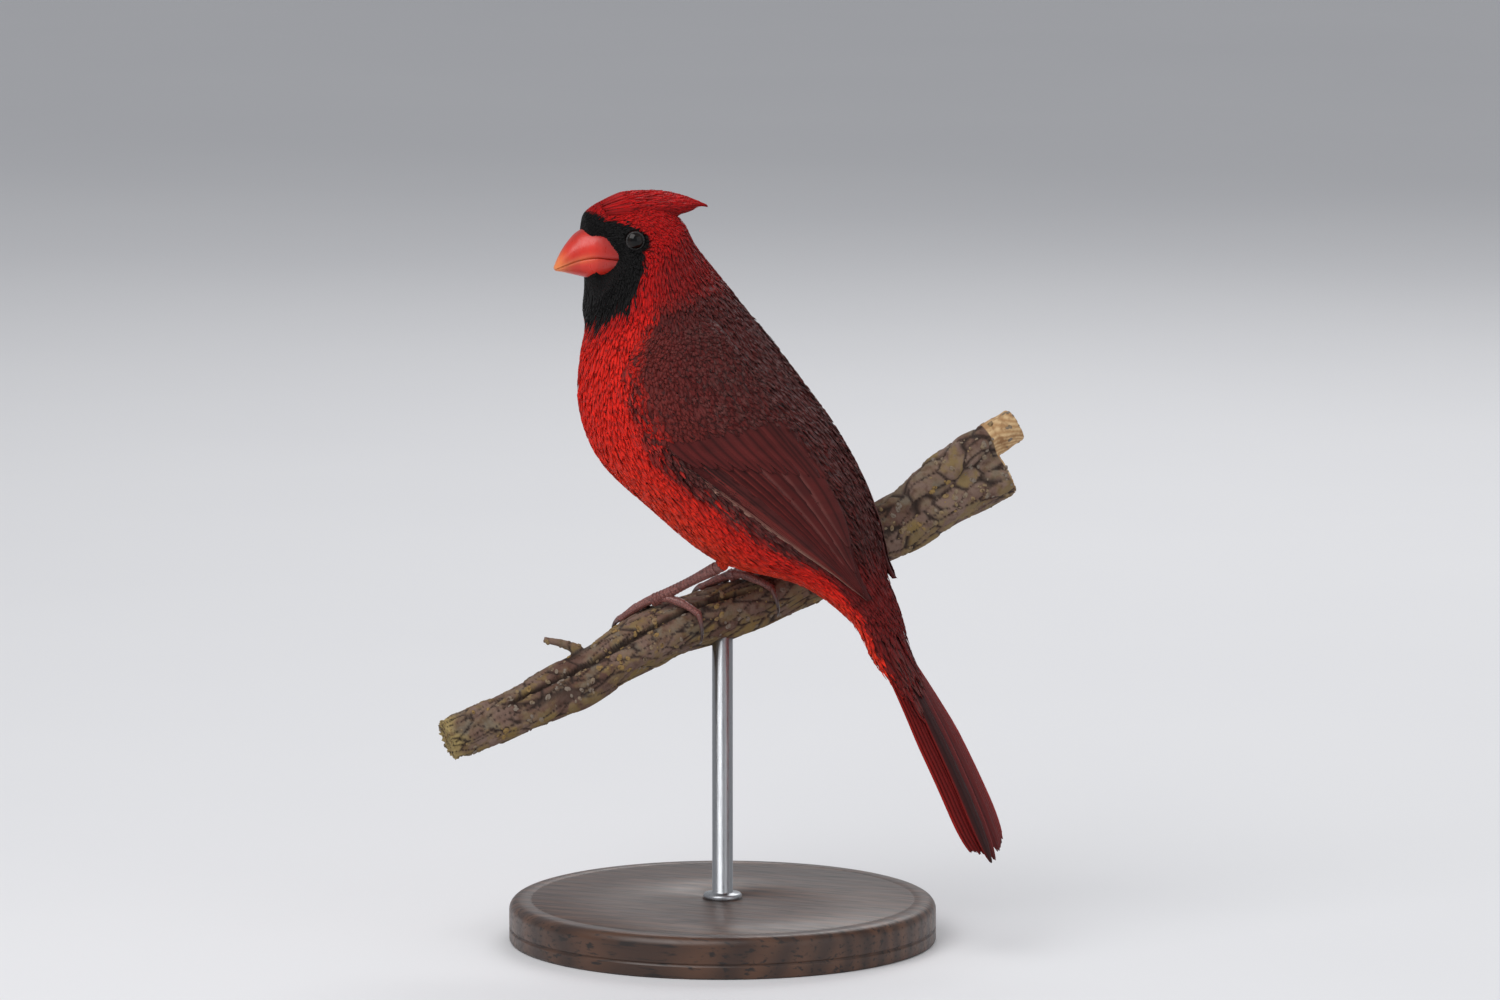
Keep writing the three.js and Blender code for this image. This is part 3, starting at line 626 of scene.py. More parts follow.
def dressed(
    shape: VaneShape, points: Array, roots: Roots, unwrap: Array, rng: Rng
) -> MeshData:
    """Joins blades whose points are worked out, and colours them from root to tip, with painted shade at each
    root.

    Args:
        shape: The blade.
        points: Points as feathers, blade points and coordinates.
        roots: The feathers.
        unwrap: Each feather's place on the unwrap.
        rng: Random numbers.

    Returns:
        One mesh of all the blades.
    """
    share, across, under = shape.template()
    count, each = points.shape[:2]
    quads, ends = shape.faces()
    shift = (np.arange(count) * each)[:, None, None]
    tone = rng.uniform(0.9, 1.08, (count, 1, 1))
    # Painted shade: each blade is darker towards its root, where the feathers overlap.
    shade = (0.74 + 0.26 * smoothstep(0.0, 0.5, share))[None, :, None]
    rim = 0.55 * np.abs(across) ** 3 * smoothstep(0.2, 0.6, share)
    tipped = (smoothstep(0.62, 0.98, share) + rim).clip(0, 1)
    tint = roots.tint[:, None] * (1 - tipped[None, :, None]) + roots.tip[:, None] * tipped[None, :, None]
    tint = tint * tone * shade
    patch = np.stack([0.5 * across * shape.half_width(share), share - 0.5 - 0.2 * under], axis=-1) * UV_PATCH
    uv = np.clip(unwrap, 0.004, 0.996)[:, None] + patch[None]
    vane = np.stack(
        [
            share[None] * roots.length[:, None],
            across[None] * roots.width[:, None] / 2 * shape.half_width(share)[None],
            np.broadcast_to(rng.uniform(0, 90, (count, 1)), (count, each)),
        ],
        axis=-1,
    )
    return MeshData(
        points.reshape(-1, 3),
        [(quads[None] + shift).reshape(-1, 4), (ends[None] + shift).reshape(-1, 3)],
        tint.reshape(-1, 3),
        vane.reshape(-1, 3),
        uv.reshape(-1, 2),
    )


def lay(form: Form, shape: VaneShape, roots: Roots, rng: Rng) -> MeshData:
    """Lays short feathers over a form, each following its surface.

    Args:
        form: What they grow on.
        shape: The blade.
        roots: Where and how large they are.
        rng: Random numbers.

    Returns:
        One mesh that faces out.
    """
    share, across, under = shape.template()
    gu, gv = metric(form, roots.u, roots.v)
    count = len(roots)
    ragged = rng.uniform(-1, 0.4, (count, len(share))) * shape.fray * (share > 0.99)
    along = (share + ragged) * roots.length[:, None]
    beside = across * shape.half_width(share) * roots.width[:, None] / 2
    turn = np.broadcast_to(roots.heading, (count,))[:, None]
    du = (along * np.cos(turn) - beside * np.sin(turn)) / np.maximum(gu, 2.0)[:, None]
    dv = (along * np.sin(turn) + beside * np.cos(turn)) / np.maximum(gv, 1.5)[:, None]
    out = roots.low[:, None] + (roots.high - roots.low)[:, None] * share**shape.curve
    out = out - shape.droop * across**2 * (1 - under) - under * shape.thick * (1 - 0.6 * share)
    points = form.point(roots.u[:, None] + du, roots.v[:, None] + dv, out)
    made = dressed(shape, points, roots, spread_out(np.stack([roots.v, roots.u], axis=-1)), rng)
    return outward(made, len(share), roots)


def outward(made: MeshData, each: int, roots: Roots) -> MeshData:
    """Turns all the blades' faces round together if the first blades look in."""
    few = min(len(roots), 60)
    sample = MeshData(made.points[: few * each], [b[: len(b) * few // len(roots)] for b in made.faces])
    total = 0.0
    for index in range(few):
        middle = sample.points[index * each : (index + 1) * each].mean(axis=0)
        for block in sample.faces:
            rows = block[(block[:, 0] >= index * each) & (block[:, 0] < (index + 1) * each)]
            p = sample.points[rows] - middle
            for k in range(1, rows.shape[1] - 1):
                total += float(np.einsum("ij,ij->i", p[:, 0], np.cross(p[:, k], p[:, k + 1])).sum())
    if total < 0:
        made.faces = [block[:, ::-1] for block in made.faces]
    return made


@dataclass(frozen=True)
class FlightFeather:
    """One long feather on a wing or tail form, from its root to its tip in the form's own measures."""

    root: tuple[float, float]
    tip: tuple[float, float]
    half: float
    low: float
    high: float
    length: float
    tint: Array
    edge: Array
    edge_side: float = 1.0
    edge_from: float = 0.55
    bend: float = 0.0


def flight(
    form: Form, shape: VaneShape, feathers: Sequence[FlightFeather], rng: Rng
) -> MeshData:
    """Lays long feathers with a raised shaft and an edge of its own colour.

    Args:
        form: What they lie on.
        shape: The blade.
        feathers: Each feather.
        rng: Random numbers.

    Returns:
        One mesh that faces out.
    """
    share, across, under = shape.template()

    def read(name: str) -> Array:
        """One measure of every feather."""
        return np.array([getattr(f, name) for f in feathers], dtype=float)

    root, tip = np.array([f.root for f in feathers]), np.array([f.tip for f in feathers])
    ragged = rng.uniform(-1, 1, (len(feathers), len(share))) * shape.fray * (share > 0.99) * 0.1
    reach = share + ragged
    u = root[:, :1] + (tip[:, :1] - root[:, :1]) * reach
    half = read("half")[:, None] * shape.half_width(share)
    bow = read("bend")[:, None] * np.sin(math.pi * share)
    v = root[:, 1:] + (tip[:, 1:] - root[:, 1:]) * share + half * across + bow
    out = read("low")[:, None] + (read("high") - read("low"))[:, None] * share
    ridge = shape.shaft * np.exp(-((across / 0.12) ** 2)) * (1 - 0.6 * share)
    out = out + ridge * (1 - under) - shape.droop * across**2 * (1 - under) - under * shape.thick
    points = form.point(u, v, out)
    roots = Roots(
        u=root[:, 0],
        v=root[:, 1],
        length=read("length"),
        width=read("half") * 2,
        low=read("low"),
        high=read("high"),
        tint=np.array([f.tint for f in feathers]),
        tip=np.array([f.tint for f in feathers]),
    )
    made = dressed(shape, points, roots, spread_out(root + rng.uniform(-1e-4, 1e-4, root.shape)), rng)
    edge = np.array([f.edge for f in feathers])[:, None]
    edge_from = read("edge_from")[:, None]
    on_edge = smoothstep(0, 1, (across[None] * read("edge_side")[:, None] - edge_from) / (0.95 - edge_from))
    on_edge = on_edge * smoothstep(0.05, 0.2, share)
    on_shaft = 0.55 * np.exp(-((across[None] / 0.1) ** 2)) * (1 - under[None])
    tint = made.tint.reshape(len(feathers), -1, 3)
    tint = mix(tint, np.broadcast_to(edge, tint.shape), on_edge)
    made.tint = (tint * (1 - on_shaft[..., None])).reshape(-1, 3)
    return outward(made, len(share), roots)


# Markings, shared by the skin and the coat
@dataclass(frozen=True)
class Markings:
    """The male's pattern over the body, by slice place and angle from the middle of the back."""

    mask_angles: tuple[float, ...] = (0, 30, 56, 64, 68, 72, 78, 86, 92, 97, 118, 132, 150, 180)
    mask_places: tuple[float, ...] = (0.5, 0.9, 1.6, 2.3, 2.8, 3.3, 3.5, 3.75, 4.1, 4.65, 4.4, 4.5, 4.3, 4.0)
    ragged: float = 0.10
    dusk_places: tuple[float, ...] = (5.4, 6.1, 7.0, 8.2, 8.8, 9.4, 10.4, 11.9, 13.6)
    dusk_angles: tuple[float, ...] = (80, 93, 99, 102, 95, 88, 78, 88, 112)

    def read(self, place: Array, angle: Array, rng: Rng) -> tuple[Array, Array]:
        """Colours at places of the body.

        Args:
            place: Slices counted from the bill.
            angle: Angle from the middle of the back, in radians.
            rng: Random numbers, which make the borders ragged.

        Returns:
            The main colour and the tip's colour.
        """
        turn = from_back(angle)
        place = place + rng.normal(0, self.ragged, place.shape) * smoothstep(0.3, 2.5, place)
        turn = turn + rng.normal(0, 2.5, turn.shape)
        belly = smoothstep(6.5, 9.5, place) * smoothstep(90, 140, turn)
        colour = mix(np.broadcast_to(Palette.BREAST, place.shape + (3,)), Palette.BELLY, belly)
        head = 1 - smoothstep(4.6, 6.0, place)
        colour = mix(colour, Palette.CHEEK, head * (1 - 0.65 * smoothstep(100, 140, turn)))
        colour = mix(colour, Palette.CROWN, head * (1 - smoothstep(20, 60, turn)))
        nape = head * smoothstep(3.4, 4.6, place) * (1 - smoothstep(55, 85, turn))
        edge = colour * 1.1
        colour, edge = mix(colour, Palette.NAPE, nape), mix(edge, Palette.NAPE * 1.15, nape)
        limit = np.interp(place, self.dusk_places, self.dusk_angles)
        dusky = smoothstep(4.75, 5.6, place) * (1 - smoothstep(limit - 9, limit + 5, turn))
        colour = mix(colour, Palette.BACK, dusky)
        grey = smoothstep(5.2, 7.0, place) * rng.uniform(0.0, 0.9, place.shape) ** 1.5
        edge = mix(edge, mix(Palette.BACK * 1.15 + 0 * edge, Palette.BACK_EDGE, grey), dusky)
        rump = smoothstep(9.8, 10.6, place) * (1 - smoothstep(limit - 5, limit + 8, turn))
        colour, edge = mix(colour, Palette.RUMP, rump), mix(edge, Palette.RUMP * 1.2, 0.85 * rump)
        mottle = smoothstep(11.6, 12.6, place) * (1 - smoothstep(40, 80, turn))
        edge = mix(edge, Palette.BACK_EDGE, 0.7 * mottle * (rng.random(place.shape) > 0.5))
        vent = smoothstep(10.6, 11.6, place) * smoothstep(limit, limit + 22, turn)
        colour, edge = mix(colour, Palette.UNDERTAIL, vent), mix(edge, Palette.UNDERTAIL * 1.1, vent)
        # Painted shade: a darker band on the flank just under the wing's lower edge.
        underwing_shade = 0.55 * smoothstep(8.4, 9.2, place) * (1 - smoothstep(10.0, 10.8, place))
        underwing_shade = underwing_shade * smoothstep(78, 86, turn) * (1 - smoothstep(98, 116, turn))
        colour = mix(colour, Palette.RUMP, underwing_shade)
        limit = np.interp(turn, self.mask_angles, self.mask_places)
        black = 1 - smoothstep(-0.10, 0.10, place - limit)
        return mix(colour, Palette.MASK, black), mix(edge, Palette.MASK * 1.5, black)


# Shader tools
class Shader:
    """A material's node tree with short calls for what every finish needs."""

    def __init__(self, name: str) -> None:
        """Makes an empty material with its output.

        Args:
            name: The material's name.
        """
        self.material = bpy.data.materials.new(name)
        self.material.use_nodes = True
        self.tree = self.material.node_tree
        self.tree.nodes.clear()
        self.output = self.tree.nodes.new("ShaderNodeOutputMaterial")

    def node(self, kind: str, inputs: Optional[dict] = None, **props: object) -> bpy.types.Node:
        """Adds a node, sets its properties, and sets or links its inputs.

        Args:
            kind: The node's type without its prefix.
            inputs: Values or sockets by the input's name or number.
            **props: Properties of the node.

        Returns:
            The node.
        """
        return add_node(self.tree, "ShaderNode" + kind, inputs, **props)

    def mix(self, factor: Value, a: Value, b: Value) -> bpy.types.NodeSocket:
        """Mixes two colours, each a socket or three values.

        Args:
            factor: Share of the second colour.
            a: First colour.
            b: Second colour.

        Returns:
            The colour socket.
        """
        made = self.node("Mix", {0: factor, 6: a, 7: b}, data_type="RGBA", clamp_factor=True)
        return made.outputs[2]

    def times(self, colour: Value, tone: Value) -> bpy.types.NodeSocket:
        """A colour socket multiplied by a grey tone."""
        grey = self.node("CombineXYZ", {0: tone, 1: tone, 2: tone}).outputs[0]
        return self.node("VectorMath", {0: colour, 1: grey}, operation="MULTIPLY").outputs[0]

    def ramp(
        self, value: Value, low: float, high: float, to_low: float = 0.0, to_high: float = 1.0
    ) -> bpy.types.NodeSocket:
        """Maps a value's range onto another.

        Args:
            value: The value.
            low: Start of its range.
            high: End of its range.
            to_low: What the start becomes.
            to_high: What the end becomes.

        Returns:
            The value socket.
        """
        inputs = {"Value": value, "From Min": low, "From Max": high, "To Min": to_low, "To Max": to_high}
        return self.node("MapRange", inputs).outputs[0]

    def scaled(self, factors: Sequence[float]) -> bpy.types.NodeSocket:
        """Object coordinates scaled each way, as a socket."""
        coords = self.node("TexCoord").outputs["Object"]
        return self.node("Mapping", {"Vector": coords, "Scale": tuple(factors)}).outputs[0]

    def mottle(self, groups: "NodeGroups", where: Value, patches: float, grain: float) -> bpy.types.Node:
        """The shared patches and grain at two scales, over a vector."""
        inputs = {"Vector": where, "Patches": patches, "Grain": grain}
        return self.node("Group", inputs, node_tree=groups.mottle)

    def bump(
        self, height: Value, strength: float, distance: float, under: Optional[bpy.types.NodeSocket] = None
    ) -> bpy.types.NodeSocket:
        """A bump laid over an earlier normal.

        Args:
            height: Height as a share of the distance.
            strength: The bump's strength.
            distance: Its distance in metres.
            under: An earlier normal.

        Returns:
            The normal socket.
        """
        inputs = {"Height": height, "Strength": strength, "Distance": distance}
        if under is not None:
            inputs["Normal"] = under
        return self.node("Bump", inputs).outputs[0]

    def finish(self, **inputs: Value) -> bpy.types.Material:
        """Adds the surface shader, its inputs named with underscores, and returns the material."""
        named = {key.replace("_", " "): value for key, value in inputs.items()}
        surface = self.node("BsdfPrincipled", named)
        self.tree.links.new(surface.outputs[0], self.output.inputs["Surface"])
        return self.material


def add_node(
    tree: bpy.types.NodeTree, kind: str, inputs: Optional[dict] = None, **props: object
) -> bpy.types.Node:
    """Adds a node to any tree, with properties and inputs.

    Args:
        tree: The node tree.
        kind: The node's full type.
        inputs: Values or sockets by the input's name or number.
        **props: Properties of the node.

    Returns:
        The node.
    """
    made = tree.nodes.new(kind)
    for key, value in props.items():
        setattr(made, key, value)
    for key, value in (inputs or {}).items():
        socket = made.inputs[key]
        if isinstance(value, bpy.types.NodeSocket):
            tree.links.new(value, socket)
        elif isinstance(value, np.ndarray) or (isinstance(value, (tuple, list)) and socket.type == "RGBA"):
            socket.default_value = (*[float(part) for part in value][:3], 1.0)
        else:
            socket.default_value = value
    return made


class NodeGroups:
    """Shader node groups that several finishes share, each built once."""

    def __init__(self) -> None:
        """Builds the groups."""
        self.barbs = self._barbs()
        self.mottle = self._mottle()

    @staticmethod
    def _tree(
        name: str, inputs: Sequence[tuple[str, str, float]], outputs: Sequence[str]
    ) -> tuple[bpy.types.NodeTree, bpy.types.Node, bpy.types.Node]:
        """Starts a group.

        Args:
            name: The group's name.
            inputs: Label, socket type and value of each input.
            outputs: Labels of the outputs, each a value.

        Returns:
            The group with its input and output nodes.
        """
        tree = bpy.data.node_groups.new(name, "ShaderNodeTree")
        for label, kind, value in inputs:
            socket = tree.interface.new_socket(label, in_out="INPUT", socket_type=kind)
            if kind == "NodeSocketFloat":
                socket.default_value = value
        for label in outputs:
            tree.interface.new_socket(label, in_out="OUTPUT", socket_type="NodeSocketFloat")
        return tree, tree.nodes.new("NodeGroupInput"), tree.nodes.new("NodeGroupOutput")

    def _barbs(self) -> bpy.types.NodeTree:
        """Streaks and barb ridges of a feather, from its own length and width in mm."""
        inputs = [
            ("Vane", "NodeSocketVector", 0.0),
            ("Streak", "NodeSocketFloat", 2.4),
            ("Lean", "NodeSocketFloat", 0.8),
        ]
        tree, start, end = self._tree("Barbs", inputs, ["Streaks", "Ridges"])

        def math_node(operation: str, *values: Value) -> bpy.types.NodeSocket:
            """The result of a sum on one or two values."""
            return add_node(tree, "ShaderNodeMath", dict(enumerate(values)), operation=operation).outputs[0]

        def noise(along: Value, across: Value, detail: float) -> bpy.types.NodeSocket:
            """Noise over a place on the vane, different for each feather."""
            place = add_node(tree, "ShaderNodeCombineXYZ", {0: along, 1: across, 2: feather})
            inputs = {"Vector": place.outputs[0], "Scale": 1.0, "Detail": detail}
            return add_node(tree, "ShaderNodeTexNoise", inputs).outputs[0]

        along, across, feather = add_node(tree, "ShaderNodeSeparateXYZ", {0: start.outputs["Vane"]}).outputs
        wide = math_node("MULTIPLY", across, start.outputs["Streak"])
        streaks = noise(math_node("MULTIPLY", along, 0.3), wide, 3.0)
        lean = math_node("MULTIPLY", math_node("ABSOLUTE", across), start.outputs["Lean"])
        fine = math_node("MULTIPLY", math_node("SUBTRACT", along, lean), 5.0)
        tree.links.new(streaks, end.inputs["Streaks"])
        tree.links.new(noise(fine, across, 1.0), end.inputs["Ridges"])
        return tree

    def _mottle(self) -> bpy.types.NodeTree:
        """Soft patches and fine grain over any surface."""
        inputs = [
            ("Vector", "NodeSocketVector", 0.0),
            ("Patches", "NodeSocketFloat", 5.0),
            ("Grain", "NodeSocketFloat", 60.0),
        ]
        tree, start, end = self._tree("Mottle", inputs, ["Patches", "Grain"])
        for label, detail in (("Patches", 4.0), ("Grain", 3.0)):
            noise = add_node(
                tree,
                "ShaderNodeTexNoise",
                {"Vector": start.outputs["Vector"], "Scale": start.outputs[label], "Detail": detail},
            )
            tree.links.new(noise.outputs[0], end.inputs[label])
        return tree


@dataclass(frozen=True)
class PlumageFinish:
    """Feathers whose colour comes from their markings, with streaks and barbs along each vane."""

    name: str
    streak: float = 2.4
    contrast: float = 0.34
    ridge: float = 0.22
    roughness: float = 0.6
    sheen: float = 0.03

    def make(self, groups: NodeGroups) -> bpy.types.Material:
        """The finish as a material."""
        shader = Shader(self.name)
        tint = shader.node("Attribute", attribute_name="tint").outputs["Color"]
        vane = shader.node("Attribute", attribute_name="vane").outputs["Vector"]
        barbs = shader.node("Group", node_tree=groups.barbs)
        shader.tree.links.new(vane, barbs.inputs["Vane"])
        barbs.inputs["Streak"].default_value = self.streak
        tone = shader.ramp(barbs.outputs["Streaks"], 0.3, 0.7, 1 - self.contrast, 1 + self.contrast * 0.7)
        colour = shader.times(tint, tone)
        normal = shader.bump(barbs.outputs["Streaks"], self.ridge, 0.0006)
        normal = shader.bump(barbs.outputs["Ridges"], self.ridge * 0.7, 0.0003, normal)
        rough = shader.ramp(barbs.outputs["Streaks"], 0.3, 0.7, self.roughness - 0.08, self.roughness + 0.12)
        return shader.finish(
            Base_Color=colour,
            Roughness=rough,
            Normal=normal,
            Sheen_Weight=self.sheen,
            Sheen_Roughness=0.5,
            Specular_IOR_Level=0.14,
        )


@dataclass(frozen=True)
class SkinFinish:
    """Skin under the coat, with the coat's markings and its fine down."""

    name: str = "skin_and_down"

    def make(self, groups: NodeGroups) -> bpy.types.Material:
        """The finish as a material."""
        shader = Shader(self.name)
        tint = shader.node("Attribute", attribute_name="tint").outputs["Color"]
        mottle = shader.mottle(groups, shader.scaled((1, 1, 1)), 260.0, 1500.0)
        patches = shader.ramp(mottle.outputs["Patches"], 0.35, 0.65)
        # Darker, greyer mottling: partly the down's own grey, partly painted shade under the coat.
        down_grey_and_shade = shader.mix(patches, (0.45, 0.42, 0.4), (0.8, 0.8, 0.8))
        colour = shader.node("VectorMath", {0: tint, 1: down_grey_and_shade}, operation="MULTIPLY").outputs[0]
        normal = shader.bump(mottle.outputs["Grain"], 0.5, 0.0005)
        return shader.finish(Base_Color=colour, Roughness=0.8, Normal=normal, Specular_IOR_Level=0.2)


@dataclass(frozen=True)
class HornFinish:
    """Bill and claws: smooth horn tinted from root to tip, with fine growth lines."""

    name: str
    roughness: float = 0.3
    coat: float = 0.14
    lines: float = 900.0

    def make(self, groups: NodeGroups) -> bpy.types.Material:
        """The finish as a material."""
        shader = Shader(self.name)
        tint = shader.node("Attribute", attribute_name="tint").outputs["Color"]
        where = shader.scaled((1, 1, 0.35))
        mottle = shader.mottle(groups, where, 240.0, self.lines)
        tone = shader.ramp(mottle.outputs["Patches"], 0.3, 0.7, 0.82, 1.14)
        colour = shader.times(tint, tone)
        rough = shader.ramp(mottle.outputs["Grain"], 0.3, 0.7, self.roughness - 0.05, self.roughness + 0.14)
        normal = shader.bump(mottle.outputs["Grain"], 0.25, 0.0002)
        normal = shader.bump(mottle.outputs["Patches"], 0.3, 0.0005, normal)
        return shader.finish(
            Base_Color=colour,
            Roughness=rough,
            Normal=normal,
            Coat_Weight=self.coat,
            Coat_Roughness=0.2,
            Subsurface_Weight=0.08,
            Subsurface_Radius=(0.002, 0.0008, 0.0005),
            Subsurface_Scale=0.5,
        )


@dataclass(frozen=True)
class EyeFinish:
    """A dark brown eye with a black pupil under a wet clear front."""

    name: str
    centre: Triple
    axis: Triple
    radius: float

    def make(self, groups: NodeGroups) -> bpy.types.Material:
        """The finish as a material."""
        shader = Shader(self.name)
        coords = shader.node("TexCoord").outputs["Object"]
        away = shader.node("VectorMath", {0: coords, 1: self.centre}, operation="SUBTRACT").outputs[0]
        facing = shader.node("VectorMath", {0: away, 1: self.axis}, operation="DOT_PRODUCT").outputs["Value"]
        facing = shader.node("Math", {0: facing, 1: self.radius}, operation="DIVIDE").outputs[0]
        mottle = shader.mottle(groups, coords, 900.0, 2600.0)
        fibres = shader.mix(mottle.outputs["Patches"], linear(12, 7, 5), linear(26, 15, 10))
        pupil = shader.ramp(facing, 0.86, 0.9)
        colour = shader.mix(pupil, fibres, linear(4, 3, 3))
        rim = shader.ramp(facing, 0.68, 0.76)
        colour = shader.mix(rim, linear(8, 6, 5), colour)
        return shader.finish(
            Base_Color=colour, Roughness=0.06, Coat_Weight=0.1, Coat_Roughness=0.03, Specular_IOR_Level=0.22
        )


@dataclass(frozen=True)
class LegFinish:
    """Scaly leg skin, brownish pink and a little damp, darker in its folds, partly their own colour and
    partly painted shade.
    """

    name: str = "leg_skin"
    wet: float = 0.35

    def make(self, groups: NodeGroups) -> bpy.types.Material:
        """The finish as a material."""
        shader = Shader(self.name)
        where = shader.scaled((1, 1, 1))
        mottle = shader.mottle(groups, where, 300.0, 1400.0)
        cells = shader.node("TexVoronoi", {"Vector": where, "Scale": 1500.0}, feature="DISTANCE_TO_EDGE")
        colour = shader.mix(mottle.outputs["Patches"], linear(104, 56, 52), linear(168, 108, 98))
        # Darker between the scales: partly their own colour, partly painted shade in the folds.
        fold_colour_and_shade = shader.ramp(cells.outputs[0], 0.0, 0.12)
        colour = shader.mix(fold_colour_and_shade, linear(66, 34, 32), colour)
        normal = shader.bump(fold_colour_and_shade, 0.5, 0.0002)
        normal = shader.bump(mottle.outputs["Grain"], 0.3, 0.0002, normal)
        rough = shader.ramp(mottle.outputs["Patches"], 0.3, 0.7, 0.32, 0.55)
        return shader.finish(
            Base_Color=colour, Roughness=rough, Normal=normal, Coat_Weight=self.wet, Coat_Roughness=0.25
        )


@dataclass(frozen=True)
class BarkFinish:
    """Weathered bark: brown-pink plates, grey patches, ochre lichen, cracks darkened partly in their own
    colour and partly as painted shade, and cut wood at the end.
    """

    name: str = "bark"
    cut_at: Triple = (0.0, 0.0, 0.0)
    cut_along: Triple = (1.0, 0.0, 0.0)

    def make(self, groups: NodeGroups) -> bpy.types.Material:
        """The finish as a material."""
        shader = Shader(self.name)
        where = shader.scaled((1, 1, 1))
        crack = shader.node("Attribute", attribute_name="tint").outputs["Color"]
        parts = shader.node("SeparateColor", {0: crack})
        plate, lichen, broken = parts.outputs[0], parts.outputs[1], parts.outputs[2]
        mottle = shader.mottle(groups, where, 70.0, 520.0)
        fine = shader.mottle(groups, where, 200.0, 1500.0)
        patches, grain = mottle.outputs["Patches"], mottle.outputs["Grain"]
        colour = shader.mix(shader.ramp(patches, 0.38, 0.6), linear(92, 66, 56), linear(124, 102, 90))
        colour = shader.mix(shader.ramp(fine.outputs["Patches"], 0.5, 0.66), colour, linear(108, 100, 92))
        colour = shader.mix(shader.ramp(grain, 0.5, 0.72, 0.0, 0.7), colour, linear(72, 48, 38))
        spots = shader.ramp(fine.outputs["Patches"], 0.42, 0.56)
        moss = shader.node("Math", {0: spots, 1: lichen}, operation="MULTIPLY")
        colour = shader.mix(moss.outputs[0], colour, linear(128, 106, 66))
        colour = shader.mix(broken, colour, shader.mix(grain, linear(128, 106, 66), linear(180, 160, 108)))
        # Cracks darkened: partly the bark's own dark fissures, partly painted shade in them.
        colour = shader.mix(plate, linear(44, 32, 26), colour)
        away = shader.node("VectorMath", {0: where, 1: self.cut_at}, operation="SUBTRACT").outputs[0]
        past = shader.node("VectorMath", {0: away, 1: self.cut_along}, operation="DOT_PRODUCT")
        face = shader.ramp(past.outputs["Value"], -0.0006, -0.0003)
        reach = shader.node("VectorMath", {0: away}, operation="LENGTH").outputs["Value"]
        rings = shader.node("Math", {0: reach, 1: 5200.0}, operation="MULTIPLY").outputs[0]
        rings = shader.node("Math", {0: rings}, operation="SINE").outputs[0]
        wood = shader.mix(shader.ramp(rings, -1.0, 1.0), linear(176, 138, 96), linear(208, 176, 132))
        wood = shader.mix(shader.ramp(grain, 0.45, 0.7), wood, linear(150, 112, 76))
        colour = shader.mix(face, colour, wood)
        normal = shader.bump(grain, 0.55, 0.0008)
        normal = shader.bump(fine.outputs["Grain"], 0.4, 0.0003, normal)
        rough = shader.ramp(grain, 0.3, 0.7, 0.72, 0.95)
        return shader.finish(Base_Color=colour, Roughness=rough, Normal=normal, Specular_IOR_Level=0.3)


@dataclass(frozen=True)
class WoodFinish:
    """Turned hardwood with long grain, pores and a satin oil finish."""

    name: str = "base_wood"

    def make(self, groups: NodeGroups) -> bpy.types.Material:
        """The finish as a material."""
        shader = Shader(self.name)
        long = shader.scaled((1.0, 0.1, 1.0))
        mottle = shader.mottle(groups, long, 60.0, 900.0)
        waves = {"Vector": long, "Scale": 45.0, "Distortion": 5.0, "Detail": 2.0}
        bands = shader.node("TexWave", waves).outputs[1]
        colour = shader.mix(bands, linear(58, 36, 24), linear(92, 60, 40))
        patches = shader.ramp(mottle.outputs["Patches"], 0.35, 0.7, 0.0, 0.5)
        colour = shader.mix(patches, colour, linear(44, 26, 18))
        pores = shader.ramp(mottle.outputs["Grain"], 0.56, 0.66)
        colour = shader.mix(pores, colour, linear(30, 18, 12))
        normal = shader.bump(mottle.outputs["Grain"], 0.15, 0.0002)
        rough = shader.ramp(mottle.outputs["Grain"], 0.3, 0.7, 0.34, 0.5)
        return shader.finish(
            Base_Color=colour, Roughness=rough, Normal=normal, Coat_Weight=0.15, Coat_Roughness=0.3
        )


@dataclass(frozen=True)
class SteelFinish:
    """Brushed steel with fine lines along the rod."""

    name: str = "rod_steel"

    def make(self, groups: NodeGroups) -> bpy.types.Material:
        """The finish as a material."""
        shader = Shader(self.name)
        lines = shader.scaled((1.0, 1.0, 0.03))
        mottle = shader.mottle(groups, lines, 900.0, 5000.0)
        colour = shader.mix(mottle.outputs["Patches"], linear(150, 152, 156), linear(186, 188, 190))
        rough = shader.ramp(mottle.outputs["Grain"], 0.3, 0.7, 0.24, 0.42)
        normal = shader.bump(mottle.outputs["Grain"], 0.08, 0.0001)
        return shader.finish(Base_Color=colour, Roughness=rough, Normal=normal, Metallic=1.0)


@dataclass(frozen=True)
class FloorFinish:
    """A plain pale floor with the least unevenness."""

    name: str = "pale_floor"

    def make(self, groups: NodeGroups) -> bpy.types.Material:
        """The finish as a material."""
        shader = Shader(self.name)
        mottle = shader.mottle(groups, shader.scaled((1, 1, 1)), 3.0, 240.0)
        colour = shader.mix(mottle.outputs["Patches"], linear(226, 226, 228), linear(232, 232, 233))
        normal = shader.bump(mottle.outputs["Grain"], 0.04, 0.0004)
        return shader.finish(Base_Color=colour, Roughness=0.7, Normal=normal)


def ride(piece: bpy.types.Object, slot: str, *nodes: str) -> None:
    """Fixes a piece to the model and hides the nodes that it stands for.

    Args:
        piece: The piece.
        slot: The record's material slot; not used.
        *nodes: The nodes that it replaces.
    """
    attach(piece, "root")
    if nodes:
        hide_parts(*nodes)
    log.info("%s: %d faces", piece.name, len(piece.data.polygons))


